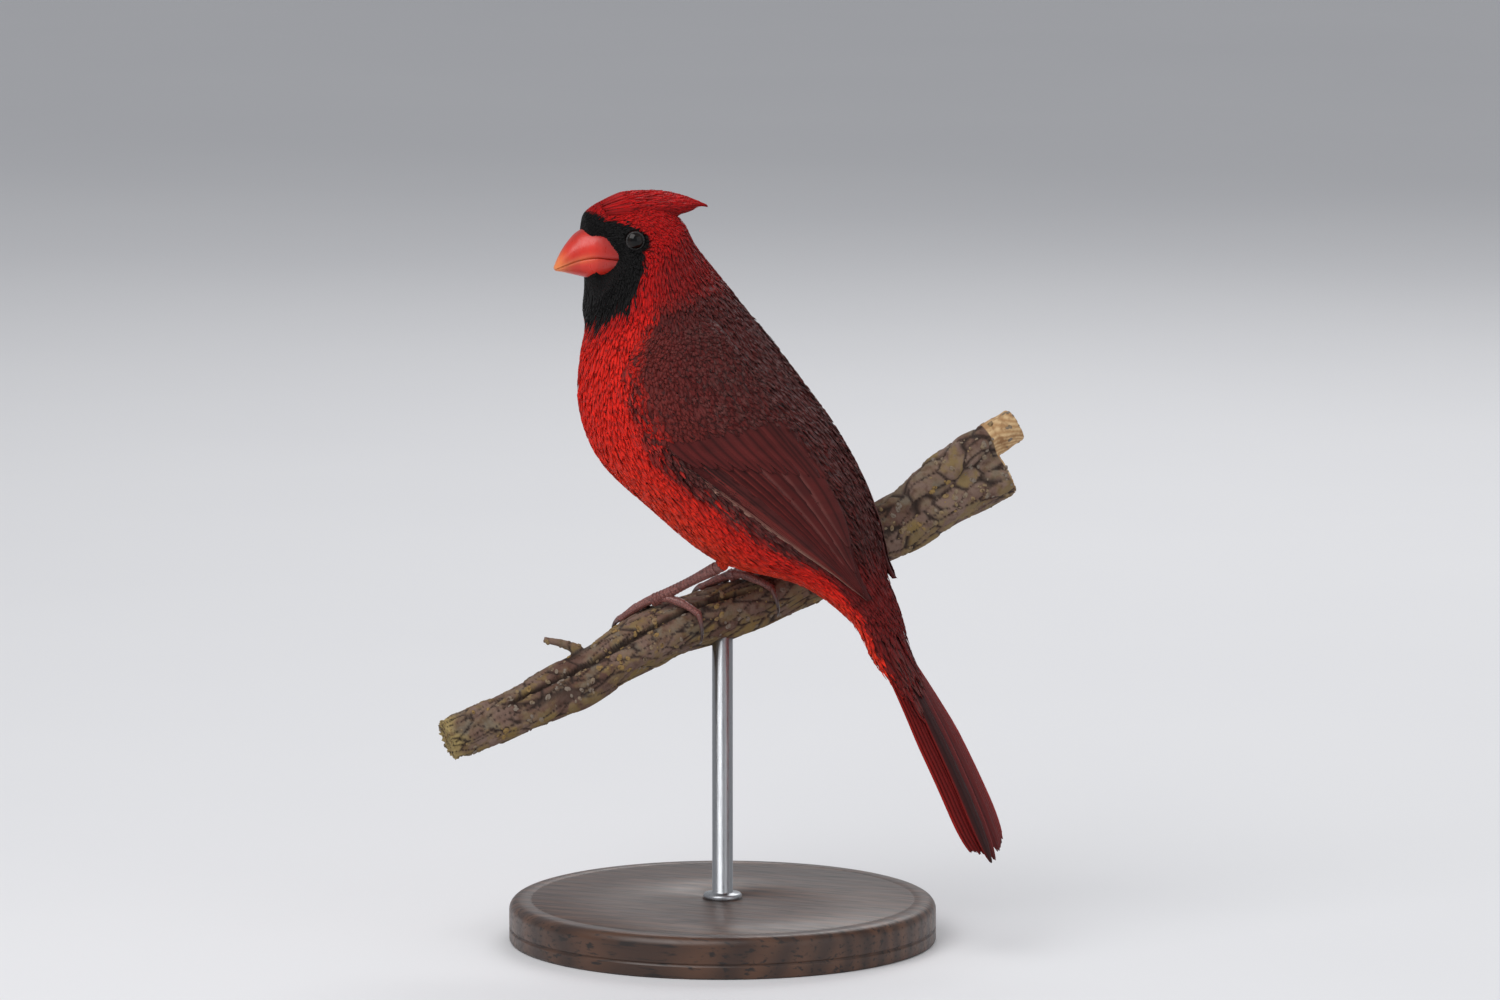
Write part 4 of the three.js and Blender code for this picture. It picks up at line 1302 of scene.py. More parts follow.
# Skin
@dataclass
class Skin:
    """One skin for all the flesh, inside it by the coat's depth."""

    body: BodyForm
    crest: CrestForm
    thighs: tuple[ThighForm, ThighForm]
    markings: Markings
    depth: float = 1.25
    face_depth: float = 0.45
    voxel: float = 0.9
    rings: int = 112
    sides: int = 72

    def grid(self, form: Form, last: float, depth: Callable[[Array], Array], first: float = 0.0) -> MeshData:
        """A closed loft of a form, let in by a depth that changes along it."""
        turns = np.linspace(0, 2 * math.pi, self.sides, endpoint=False)
        place, angle = np.meshgrid(np.linspace(first, last, self.rings), turns, indexing="ij")
        return loft(form.point(place, angle, -depth(place)))

    def build(self, material: bpy.types.Material, rng: Rng) -> bpy.types.Object:
        """Joins body, crest and thighs in one skin, and paints it with the markings.

        Args:
            material: The skin's finish.
            rng: Random numbers.

        Returns:
            The skin's object.
        """

        def body_depth(u: Array) -> Array:
            """The coat's depth along the body, least on the face."""
            return self.face_depth + (self.depth - self.face_depth) * smoothstep(1.5, 5.0, u)

        whole = self.grid(self.body, 14.0, body_depth, 0.02)
        whole = whole.joined(self.grid(self.crest, 3.6, lambda u: np.full_like(u, 0.9), 0.3))
        for thigh in self.thighs:
            whole = whole.joined(self.grid(thigh, 1.0, lambda u: 0.5 + 0.4 * (1 - u)))
        rough = whole.object("skin", material)
        remesh = rough.modifiers.new("one_skin", "REMESH")
        remesh.mode = "VOXEL"
        remesh.voxel_size = self.voxel * MM
        remesh.use_smooth_shade = True
        mesh = bpy.data.meshes.new_from_object(rough.evaluated_get(bpy.context.evaluated_depsgraph_get()))
        rough.modifiers.clear()
        rough.data = mesh
        self.paint(mesh, rng)
        return rough

    def paint(self, mesh: bpy.types.Mesh, rng: Rng) -> None:
        """Gives each point of the skin the colour of the body's nearest place."""
        place, angle = np.meshgrid(np.linspace(0, 14, 281), np.linspace(-math.pi, math.pi, 97), indexing="ij")
        place, angle = place.ravel(), angle.ravel()
        colours, _ = Markings(ragged=0.02).read(place, angle, rng)
        tree = kdtree.KDTree(len(place))
        for index, at in enumerate(self.body.point(place, angle, np.full_like(place, -1.0))):
            tree.insert(at, index)
        tree.balance()
        points = np.empty(len(mesh.vertices) * 3, dtype=np.float32)
        mesh.vertices.foreach_get("co", points)
        points = points.reshape(-1, 3) / MM - BIRD_OFFSET
        near = np.array([tree.find(Vector(p))[1] for p in points])
        # Painted shade: the skin under the coat is darkened to 0.8 of the markings.
        painted = mix(colours[near] * 0.8, Palette.MASK, 1 - smoothstep(3.4, 4.2, from_eyes(points)))
        tint = np.concatenate([painted, np.ones((len(points), 1))], axis=1)
        layer = mesh.color_attributes.new("tint", "FLOAT_COLOR", "POINT")
        layer.data.foreach_set("color", tint.astype(np.float32).ravel())


# Coat
@dataclass(frozen=True)
class Tract:
    """A stretch of the coat between two slices and two angles from the middle of the back, in degrees."""

    name: str
    first: float
    last: float
    from_angle: float
    to_angle: float
    shape: VaneShape


@dataclass
class Coat:
    """The contour feathers of head, neck and body, smallest at the bill."""

    body: BodyForm
    markings: Markings
    places: tuple[float, ...] = (0.0, 1.0, 2.0, 3.0, 4.0, 5.0, 6.0, 8.0, 10.0, 12.0, 14.0)
    lengths: tuple[float, ...] = (1.5, 2.0, 2.6, 3.4, 4.8, 6.0, 7.2, 8.5, 9.0, 10.0, 12.0)
    widths: tuple[float, ...] = (0.5, 0.6, 0.75, 0.95, 1.2, 1.4, 1.6, 1.8, 1.8, 2.0, 2.4)
    row_share: float = 0.27
    side_share: float = 0.55
    eye_clear: float = 2.6

    def tracts(self) -> tuple[Tract, ...]:
        """The pieces that the coat is made in."""
        fine = VaneShape(3, 3, thick=0.08, fray=0.2, droop=0.05, tip_width=0.3, curve=1.2)
        soft = VaneShape(3, 4, thick=0.1, fray=0.2, droop=0.1, tip_width=0.3, curve=1.2)
        return (
            Tract("coat_face", 0.0, 3.6, -180, 180, fine),
            Tract("coat_head", 3.5, 5.2, -180, 180, fine),
            Tract("coat_neck", 5.1, 6.9, -180, 180, soft),
            Tract("coat_breast", 6.7, 9.0, 60, 300, soft),
            Tract("coat_belly", 8.9, 11.4, 60, 300, soft),
            Tract("coat_back", 6.7, 11.4, -62, 62, soft),
            Tract("coat_rump", 11.2, 14.0, -180, 180, soft),
        )

    def roots(self, tract: Tract, rng: Rng) -> Roots:
        """Sets the feathers of a tract in rows, thinned where the rows run close.

        Args:
            tract: The stretch of coat.
            rng: Random numbers.

        Returns:
            The feathers.
        """
        angles = np.radians(np.linspace(tract.from_angle, tract.to_angle, 73))
        us: list[Array] = []
        vs: list[Array] = []
        u = tract.first
        row = 0
        while u < tract.last:
            gu, gv = metric(self.body, np.full_like(angles, u), angles)
            size = np.interp(u, self.places, self.lengths)
            breadth = np.interp(u, self.places, self.widths)
            run = np.concatenate([[0.0], np.cumsum((gv[1:] + gv[:-1]) / 2 * np.diff(angles))])
            count = max(6, int(run[-1] / (breadth * self.side_share)))
            marks = (np.arange(count) + 0.5 * (row % 2) + rng.uniform(-0.25, 0.25, count)) / count * run[-1]
            v = np.interp(marks, run, angles)
            keep = rng.random(count) < np.interp(v, angles, gu) / gu.max() * 1.15
            step = size * self.row_share / gu.max()
            vs.append(v[keep])
            us.append(u + rng.uniform(-0.5, 0.5, keep.sum()) * step)
            u += step
            row += 1
        place, angle = np.concatenate(us), np.concatenate(vs)
        clear = self.clear_of_eyes(place, angle) & self.clear_of_wings(place, angle)
        return self.sized(place[clear], angle[clear], rng)

    def clear_of_eyes(self, place: Array, angle: Array) -> Array:
        """Whether each root stands outside the lids."""
        return self.from_eye(place, angle) > self.eye_clear

    def from_eye(self, place: Array, angle: Array) -> Array:
        """Distance of each root from the nearer eye."""
        return from_eyes(self.body.point(place, angle, np.zeros_like(place)))

    def clear_of_wings(self, place: Array, angle: Array) -> Array:
        """Whether each root is in the open or just under a wing's edge."""
        line, upper, lower = np.moveaxis(np.array(WingForm(Side.LEFT).stations), -1, 0)
        turn = from_back(angle)
        high, low = np.interp(place, line, upper), np.interp(place, line, lower)
        inside = (turn > high + 14) & (turn < low - 14) & (place > line[0] + 0.5) & (place < line[-1] - 0.6)
        return ~inside

    def over_wings(self, place: Array, angle: Array) -> Array:
        """How far tips rise to lie over the edges of the wings."""
        line, upper, lower = np.moveaxis(np.array(WingForm(Side.LEFT).stations), -1, 0)
        turn = from_back(angle)
        high, low = np.interp(place, line, upper), np.interp(place, line, lower)
        over = fade((turn - high + 1) / 15) * smoothstep(5.2, 5.8, place) * (1 - smoothstep(9.6, 10.6, place))
        under = fade((turn - low - 2) / 11) * smoothstep(5.4, 6.0, place) * (1 - smoothstep(7.8, 8.8, place))
        beside = smoothstep(high - 8, high, turn) * (1 - smoothstep(low, low + 8, turn))
        front = fade((place - 5.72) / 0.55) * beside
        return np.maximum(np.maximum(1.1 * over, 1.0 * under), 1.25 * front)

    def by_bill(self, place: Array, angle: Array) -> Array:
        """How near each root is to the lower edge of the bill, where feathers lie under it."""
        turn = from_back(angle)
        return (1 - smoothstep(2.0, 3.0, place)) * fade((turn - 138) / 46)

    def sized(self, place: Array, angle: Array, rng: Rng) -> Roots:
        """Gives each root its size, lie and colours."""
        count = len(place)
        tint, tip = self.markings.read(place, angle, rng)
        ring = 1 - smoothstep(0.5, 1.1, self.from_eye(place, angle) - self.eye_clear)
        tint, tip = mix(tint, Palette.MASK, ring), mix(tip, Palette.MASK * 1.3, ring)
        length = np.interp(place, self.places, self.lengths) * rng.uniform(0.85, 1.2, count)
        length = np.minimum(length, np.maximum(self.from_eye(place, angle) - self.eye_clear + 0.35, 0.7))
        width = np.interp(place, self.places, self.widths) * rng.uniform(0.85, 1.15, count)
        depth = np.interp(place, (0, 2, 4, 6, 14), (0.3, 0.45, 0.7, 1.0, 1.0))
        return Roots(
            u=place,
            v=angle,
            length=length,
            width=width,
            low=-depth,
            high=rng.uniform(0.0, 0.16, count) * np.clip(depth, 0.4, 1)
            + self.over_wings(place, angle)
            - 1.5 * self.by_bill(place, angle),
            tint=tint,
            tip=tip,
            heading=rng.normal(0, 0.09, count),
        )

    def build(self, material: bpy.types.Material, rng: Rng) -> list[bpy.types.Object]:
        """Makes every tract's piece."""
        return [
            lay(self.body, tract.shape, self.roots(tract, rng), rng).object(tract.name, material)
            for tract in self.tracts()
        ]


@dataclass
class Crest:
    """The crest's long feathers, laid back along the crown to a point."""

    form: CrestForm
    rows: int = 30
    across: int = 44
    reach: float = 4.95

    def build(self, material: bpy.types.Material, rng: Rng) -> bpy.types.Object:
        """Makes the crest's piece."""
        shape = VaneShape(3, 5, thick=0.12, fray=0.1, droop=0.1, tip_width=0.2, root_width=0.5)
        u, v = np.meshgrid(np.linspace(0.05, 4.3, self.rows), np.radians(np.linspace(-125, 125, self.across)))
        u = u.ravel() + rng.uniform(-0.08, 0.08, u.size)
        v = v.ravel() + rng.uniform(-0.07, 0.07, v.size)
        gu, _ = metric(self.form, u, v)
        length = np.minimum(np.interp(u, (0, 2, 4.5), (5.5, 11.0, 9.0)), (self.reach - u) * gu * 0.98)
        # Random tone per feather, with painted shade darkening the crest's sides.
        tone_and_side_shade = rng.uniform(0.62, 1.12, len(u)) * (1 - 0.35 * smoothstep(60, 110, np.degrees(np.abs(v))))
        red = Palette.CROWN * tone_and_side_shade[:, None]
        roots = Roots(
            u=u,
            v=v,
            length=length * rng.uniform(0.85, 1.0, len(u)),
            width=np.interp(u, (0, 2, 4.5), (0.8, 1.2, 0.8)) * rng.uniform(0.85, 1.15, len(u)),
            low=np.interp(u, (0, 5), (-0.6, -0.35)),
            high=rng.uniform(-0.05, 0.12, len(u)),
            tint=red,
            tip=red * 1.3,
            heading=rng.normal(0, 0.03, len(u)),
        )
        return lay(self.form, shape, roots, rng).object("crest_feathers", material)


@dataclass
class ThighCoat:
    """Short feathers over a thigh, down to the heel."""

    form: ThighForm
    side: Side
    rows: int = 16
    across: int = 34

    def build(self, material: bpy.types.Material, rng: Rng) -> bpy.types.Object:
        """Makes the thigh's piece."""
        shape = VaneShape(3, 3, thick=0.1, fray=0.2, droop=0.1)
        turns = np.linspace(0, 2 * math.pi, self.across, endpoint=False)
        u, v = np.meshgrid(np.linspace(0.3, 0.9, self.rows), turns)
        u = u.ravel() + rng.uniform(-0.02, 0.02, u.size)
        v = v.ravel() + rng.uniform(-0.08, 0.08, v.size)
        ones = np.ones(len(u))
        roots = Roots(
            u=u,
            v=v,
            length=rng.uniform(2.2, 3.6, len(u)),
            width=1.5 * ones,
            low=-0.7 * ones,
            high=rng.uniform(-0.1, 0.2, len(u)),
            tint=np.broadcast_to(Palette.BELLY * 0.9, (len(u), 3)).copy(),
            tip=np.broadcast_to(Palette.BELLY, (len(u), 3)).copy(),
            heading=rng.normal(0, 0.08, len(u)),
        )
        return lay(self.form, shape, roots, rng).object(f"thigh_{self.side.label}_feathers", material)


@dataclass
class Wing:
    """A folded wing: scaly shoulder and coverts, stepped secondaries, and primaries to the tip."""

    side: Side
    form: WingForm = field(init=False)

    def __post_init__(self) -> None:
        """Sets up the wing's surface."""
        self.form = WingForm(self.side)

    def coverts(self, material: bpy.types.Material, rng: Rng) -> bpy.types.Object:
        """Lesser and median coverts in scaly rows, over a closed bed.

        Args:
            material: The feathers' finish.
            rng: Random numbers.

        Returns:
            The piece that stands for the coverts' node.
        """
        shape = VaneShape(3, 4, thick=0.12, fray=0.14, droop=0.12, tip_width=0.4)
        rows, across = 34, 44
        u, v = np.meshgrid(np.linspace(0.0, 0.34, rows), np.linspace(-0.02, 1.0, across), indexing="ij")
        v = v + (np.arange(rows)[:, None] % 2) * 0.5 / across
        u, v = u.ravel(), v.ravel()
        u = np.maximum(u + rng.uniform(-0.006, 0.006, u.size), 0.0)
        v = v + rng.uniform(-0.008, 0.008, v.size)
        grey = rng.uniform(0, 0.9, u.size) ** 2 * (1 - smoothstep(0.35, 0.8, v))
        base = mix(np.broadcast_to(Palette.BACK, (u.size, 3)), Palette.COVERT, smoothstep(0.1, 0.7, v))
        edge = mix(mix(base * 1.15, Palette.COVERT_EDGE, smoothstep(0.3, 0.9, v)), Palette.BACK_EDGE, grey)
        rim = smoothstep(0.86, 1.0, v) * (rng.random(u.size) > 0.35)
        base, edge = mix(base, Palette.BREAST * 0.6, rim), mix(edge, Palette.BREAST * 0.7, rim)
        small = Roots(
            u=u,
            v=v,
            length=np.interp(u, (0, 0.33), (5.0, 8.5)) * rng.uniform(0.85, 1.15, u.size),
            width=np.interp(u, (0, 0.33), (1.8, 2.8)) * rng.uniform(0.85, 1.15, u.size),
            low=np.full(u.size, -0.75),
            high=rng.uniform(-0.05, 0.14, u.size),
            tint=base,
            tip=edge,
            heading=rng.normal(0.0, 0.06, u.size),
        )
        made = lay(self.form, shape, small, rng).joined(self.pad(0.0, 0.5))
        return made.object(f"wing_{self.side.label}_coverts_feathers", material)

    def pad(self, start: float, end: float) -> MeshData:
        """The closed bed under the feathers, so that nothing shows between them.

        Args:
            start: Where it starts along the wing.
            end: Where it ends.

        Returns:
            A mesh in the secondaries' colour, darkened as painted shade between the feathers.
        """
        rows, across = 24, 20
        u, v = np.meshgrid(np.linspace(start, end, rows), np.linspace(0.03, 0.95, across), indexing="ij")
        top = self.form.point(u, v, np.full_like(u, -0.7))
        under = self.form.point(u, v, np.full_like(u, -1.5))
        made = loft(np.concatenate([top, under[:, ::-1]], axis=1))
        count = len(made.points)
        map_u = np.append(np.repeat((np.linspace(start, end, rows)), 2 * across), [start, end])
        turns = np.concatenate([np.linspace(0, 0.49, across), np.linspace(0.51, 1, across)])
        map_v = np.append(np.tile(turns, rows), [0.5, 0.5])
        made.uv = 0.01 + 0.98 * np.stack([map_v, map_u], axis=-1)
        # Painted shade: the bed is darker than the feathers, so the gaps between them read as shaded.
        made.tint = np.broadcast_to(Palette.SECONDARY * 0.8, (count, 3)).copy()
        made.vane = np.stack([map_u * 60, map_v * 20, np.zeros(count)], axis=-1)
        return made

    def greater_coverts(self, rng: Rng) -> MeshData:
        """One row of long coverts over the flight feathers' roots."""
        shape = VaneShape(7, 10, thick=0.14, fray=0.1, droop=0.12, tip_width=0.3, shaft=0.06,
                          tip_rows=1.5)
        feathers = []
        for k in range(11):
            across = 0.93 - 0.085 * k
            feathers.append(
                FlightFeather(
                    root=(0.29, across),
                    tip=(0.47 + 0.008 * k, across - 0.05),
                    half=0.062,
                    low=-0.55 + 0.02 * k,
                    high=-0.08 + 0.02 * k,
                    length=16.0,
                    tint=mix(Palette.COVERT, Palette.BACK, k / 11) * rng.uniform(0.92, 1.05),
                    edge=mix(Palette.COVERT_EDGE, Palette.BACK_EDGE, 0.4 * k / 11),
                )
            )
        return flight(self.form, shape, feathers, rng)

    def tertials(self, rng: Rng) -> MeshData:
        """Three broad round-tipped feathers stepped over the secondaries, with grey edges."""
        shape = VaneShape(11, 16, thick=0.16, fray=0.1, droop=0.16, tip_width=0.25, shaft=0.08,
                          widest=0.72, tip_rows=1.6)
        feathers = []
        tips = ((0.885, 0.36, 0.13), (0.825, 0.25, 0.14), (0.745, 0.16, 0.14))
        for k, (tip_u, tip_v, half) in enumerate(tips):
            feathers.append(
                FlightFeather(
                    root=(0.36, 0.46 - 0.14 * k),
                    tip=(tip_u, tip_v),
                    half=half,
                    low=-0.35 + 0.10 * k,
                    high=-0.05 + 0.16 * k,
                    length=36.0 - 5 * k,
                    tint=mix(Palette.SECONDARY, Palette.BACK, 0.35 + 0.3 * k) * rng.uniform(0.92, 1.05),
                    edge=mix(Palette.SECONDARY_EDGE, Palette.BACK_EDGE, 0.75),
                )
            )
        return flight(self.form, shape, feathers, rng)

    def secondaries(self, material: bpy.types.Material, rng: Rng) -> bpy.types.Object:
        """Secondaries under stepped tertials, each with a brighter outer edge.

        Args:
            material: The feathers' finish.
            rng: Random numbers.

        Returns:
            The piece that stands for the secondaries' node.
        """
        shape = VaneShape(9, 18, thick=0.16, fray=0.1, droop=0.1, tip_width=0.25, shaft=0.07,
                          widest=0.75, tip_rows=1.5)
        feathers = []
        for k in range(6):
            step = k / 5
            feathers.append(
                FlightFeather(
                    root=(0.38, 0.80 - 0.36 * step),
                    tip=(0.955 - 0.05 * step, 0.72 - 0.34 * step),
                    half=0.085 + 0.02 * step,
                    low=-0.70 + 0.26 * step,
                    high=-0.42 + 0.34 * step,
                    length=44.0 - 6 * step,
                    tint=mix(Palette.SECONDARY, Palette.BACK, 0.3 * step) * rng.uniform(0.92, 1.06),
                    edge=mix(Palette.SECONDARY_EDGE, Palette.BACK_EDGE, 0.3 * step),
                )
            )
        made = flight(self.form, shape, feathers, rng)
        made = made.joined(self.tertials(rng)).joined(self.greater_coverts(rng)).joined(self.pad(0.42, 0.9))
        return made.object(f"wing_{self.side.label}_secondaries_feathers", material)

    def primaries(self, material: bpy.types.Material, rng: Rng) -> bpy.types.Object:
        """Primaries side by side to the wing's tip, the outermost with a pale edge.

        Args:
            material: The feathers' finish.
            rng: Random numbers.

        Returns:
            The piece that stands for the primaries' node.
        """
        shape = VaneShape(9, 22, thick=0.16, fray=0.1, droop=0.08, tip_width=0.2, shaft=0.07,
                          widest=0.6, tip_rows=1.4)
        feathers = []
        for k in range(6):
            step = k / 5
            feathers.append(
                FlightFeather(
                    root=(0.37, 0.97 - 0.16 * step),
                    tip=(1.0 - 0.075 * step, 0.84 - 0.08 * step),
                    half=0.08,
                    low=-0.95 + 0.25 * step,
                    high=-0.55 + 0.3 * step,
                    length=50.0,
                    tint=mix(Palette.PRIMARY, Palette.SECONDARY, 0.6 * step) * rng.uniform(0.92, 1.06),
                    edge=mix(Palette.PRIMARY_EDGE, Palette.SECONDARY_EDGE, min(1.0, 1.6 * step)),
                    edge_from=0.3 if k == 0 else 0.55,
                    bend=0.025,
                )
            )
        made = flight(self.form, shape, feathers, rng).joined(self.pad(0.45, 0.985))
        return made.object(f"wing_{self.side.label}_primaries_feathers", material)

    def build(self, material: bpy.types.Material, rng: Rng) -> None:
        """Makes the wing's three pieces and fixes them on the model."""
        for part in ("coverts", "secondaries", "primaries"):
            piece = getattr(self, part)(material, rng)
            ride(piece, "dusky_plumage", f"wing_{self.side.label}_{part}")


@dataclass
class Tail:
    """Twelve long feathers folded in two stacks under a middle pair."""

    form: TailForm = TailForm()
    stack: int = 5
    lean: float = 2.5  # how far the middle pair's tips lie to the left

    def stack_of(self, side: Side, material: bpy.types.Material, rng: Rng) -> bpy.types.Object:
        """One side's five feathers, each lower and further out than the last.

        Args:
            side: Which side of the tail.
            material: The feathers' finish.
            rng: Random numbers.

        Returns:
            The piece that stands for that side's node.
        """
        shape = VaneShape(11, 24, thick=0.16, fray=0.06, droop=0.08, tip_width=0.2, shaft=0.12,
                          widest=0.86, root_width=0.6, tip_rows=1.6)
        feathers = []
        for k in range(self.stack):
            inner = 2.6 + 1.35 * k
            feathers.append(
                FlightFeather(
                    root=(0.04, side.value * (3.4 + 0.9 * k)),
                    tip=(1.0 - 0.007 * k, side.value * inner),
                    half=3.2,
                    low=-0.05 - 0.22 * k,
                    high=-0.05 - 0.22 * k,
                    length=96.0,
                    tint=Palette.TAIL * rng.uniform(0.9, 1.12),
                    edge=mix(Palette.TAIL, Palette.TAIL_EDGE, (0.18, 0.22, 0.28, 0.4, 1.0)[k]),
                    edge_side=float(side.value),
                )
            )
        made = flight(self.form, shape, feathers, rng)
        return made.object(f"tail_{side.label}_feathers", material)

    def middle_pair(self, material: bpy.types.Material, rng: Rng) -> bpy.types.Object:
        """The two middle feathers on top, the left one darkened to make the dark stripe along the tail."""
        shape = VaneShape(11, 24, thick=0.18, fray=0.06, droop=0.1, tip_width=0.18, shaft=0.16,
                          widest=0.84, root_width=0.6, tip_rows=1.6)
        feathers = [
            FlightFeather(
                root=(0.04, side.value * 1.6),
                tip=(1.022, side.value * 1.2 + self.lean),
                half=2.7,
                low=0.30 + 0.2 * (side is Side.LEFT),
                high=0.26 + 0.2 * (side is Side.LEFT),
                length=100.0,
                # The left middle feather is much darker than the right, which makes the dark stripe along the
                # tail.
                tint=mix(Palette.TAIL, Palette.TAIL_DARK_STRIPE, 0.85 if side is Side.LEFT else 0.15),
                edge=mix(Palette.TAIL, Palette.TAIL_EDGE, 0.35),
                edge_side=float(side.value),
            )
            for side in Side
        ]
        return flight(self.form, shape, feathers, rng).object("tail_center_feathers", material)

    def build(self, material: bpy.types.Material, rng: Rng) -> None:
        """Makes the tail's three pieces and fixes them on the model."""
        for side in Side:
            ride(self.stack_of(side, material, rng), "dusky_plumage", f"tail_{side.label}")
        ride(self.middle_pair(material, rng), "dusky_plumage", "tail_center")


@dataclass
class Bill:
    """The heavy cone of the bill: two mandibles that meet along a bent line."""

    slices: tuple[tuple[float, ...], ...] = (
        (14.0, 208.0, 8.6, 199.2, 7.4, 193.4, 8.3),
        (18.0, 208.2, 12.4, 199.2, 11.4, 193.4, 7.9),
        (21.6, 206.8, 17.8, 199.8, 17.2, 193.3, 6.4),
        (24.6, 203.8, 22.4, 199.0, 22.0, 194.4, 4.5),
        (27.0, 200.3, 26.0, 197.5, 25.6, 195.3, 2.5),
        (28.6, 196.9, 28.4, 196.3, 28.1, 195.8, 0.7),
    )
    rings: int = 44
    sides: int = 30
    seam: float = 0.09
    overhang: float = 0.25

    def mandible(self, upper: bool) -> MeshData:
        """One mandible as a half oval between the outline and the line where they meet.

        Args:
            upper: Whether it is the upper one.

        Returns:
            A mesh with its colours.
        """
        place = np.linspace(0, len(self.slices) - 1, self.rings)
        rf, rz, ef, ez, kf, kz, half = np.moveaxis(spline(np.array(self.slices), place), -1, 0)
        sign = 1 if upper else -1
        edge = head_point(ef, np.zeros_like(ef), ez + sign * self.seam)
        rim = head_point(rf if upper else kf, np.zeros_like(rf), rz if upper else kz)
        side = np.array([math.cos(HEAD_TURN), math.sin(HEAD_TURN), 0.0])
        angle = np.linspace(0, math.pi, self.sides)
        rise = rim - edge
        wide = half + (self.overhang if upper else 0.0)
        across = np.cos(angle)[None, :] * wide[:, None]
        up = np.sin(angle) ** 0.94
        points = edge[:, None] + side * across[..., None] + rise[:, None] * up[None, :, None]
        made = loft(points)
        along = np.append(np.repeat(place / place[-1], self.sides), [0.0, 1.0])
        height = np.append(np.tile(np.sin(angle), self.rings), [0.5, 0.5])
        base = np.broadcast_to(Palette.BILL_BASE, (len(along), 3))
        tint = mix(base, Palette.BILL, smoothstep(0.1, 0.45, along))
        tint = mix(tint, Palette.BILL_TIP, smoothstep(0.62, 1.0, along) * 0.8)
        pale = 0.35 * (1 - smoothstep(0.0, 0.3, height)) * smoothstep(0.3, 0.6, along)
        tint = mix(tint, Palette.BILL_TIP, pale)
        made.tint = mix(tint, Palette.BILL_BASE * 0.7, 0.5 * smoothstep(0.9, 1.0, height) * (1 - along))
        return made

    def build(self, material: bpy.types.Material) -> None:
        """Makes both mandibles and fixes them on the model."""
        for upper, label in ((True, "upper"), (False, "lower")):
            piece = self.mandible(upper).object(f"bill_{label}_horn", material)
            ride(piece, "bill", f"bill_{label}")


@dataclass
class Eye:
    """One eye with its ring of lids."""

    side: Side
    forward: float = 7.1
    out: float = 8.75
    height: float = 204.9
    radius: float = 3.1
    lid_radius: float = 2.5
    lid_thick: float = 0.36

    def frame(self) -> tuple[Array, Array, Array, Array]:
        """The eye's centre, the way it looks, and two directions across."""
        centre = head_point(self.forward, self.side.value * self.out, self.height)
        axis = np.array([math.cos(HEAD_TURN), math.sin(HEAD_TURN), 0.0]) * self.side.value
        axis = unit(axis + 0.18 * np.array([math.sin(HEAD_TURN), -math.cos(HEAD_TURN), 0.0]))
        up = unit(np.array([0.0, 0.0, 1.0]) - axis * axis[2])
        return centre, axis, up, np.cross(up, axis)

    def ball(self) -> MeshData:
        """A smooth ball with its poles along the way it looks."""
        centre, axis, up, across = self.frame()
        turns = np.linspace(0, 2 * math.pi, 40, endpoint=False)
        polar, turn = np.meshgrid(np.linspace(0.05, math.pi - 0.05, 30), turns, indexing="ij")
        flat = np.sin(polar)[..., None] * (up * np.cos(turn)[..., None] + across * np.sin(turn)[..., None])
        return loft(centre + self.radius * (flat + axis * np.cos(polar)[..., None]))

    def lids(self) -> MeshData:
        """A low beaded ring where the ball leaves the feathers."""
        centre, axis, up, across = self.frame()
        turn, round_ = np.meshgrid(np.linspace(0, 2 * math.pi, 72, endpoint=False),
                                   np.linspace(0, 2 * math.pi, 10, endpoint=False), indexing="ij")
        bead = 1 + 0.16 * np.sin(18 * turn)
        ring = self.lid_radius * (1 + 0.05 * np.cos(2 * turn)) + self.lid_thick * np.cos(round_) * bead
        depth = math.sqrt(self.radius**2 - self.lid_radius**2) - 0.12 + self.lid_thick * np.sin(round_) * bead
        way = up * np.cos(turn)[..., None] * 0.9 + across * np.sin(turn)[..., None]
        points = centre + way * ring[..., None] + axis * depth[..., None]
        count, sides = turn.shape
        i, k = np.meshgrid(np.arange(count), np.arange(sides), indexing="ij")
        n, j = (i + 1) % count, (k + 1) % sides
        quads = np.stack([i * sides + k, i * sides + j, n * sides + j, n * sides + k], axis=-1).reshape(-1, 4)
        return MeshData(points.reshape(-1, 3), [quads]).facing_out()

    def build(self, groups: NodeGroups, lid_material: bpy.types.Material) -> None:
        """Makes ball and lids and fixes them on the model."""
        centre, axis, _, _ = self.frame()
        centre = (centre + BIRD_OFFSET) * MM
        finish = EyeFinish(f"eye_{self.side.label}_wet", tuple(centre), tuple(axis), self.radius * MM)
        ball = self.ball().object(f"eye_{self.side.label}_ball", finish.make(groups))
        ride(ball, "eye", f"eye_{self.side.label}")
        lids = self.lids()
        lids.tint = np.broadcast_to(linear(30, 26, 25), (len(lids.points), 3)).copy()
        ride(lids.object(f"eyelids_{self.side.label}", lid_material), "eye")


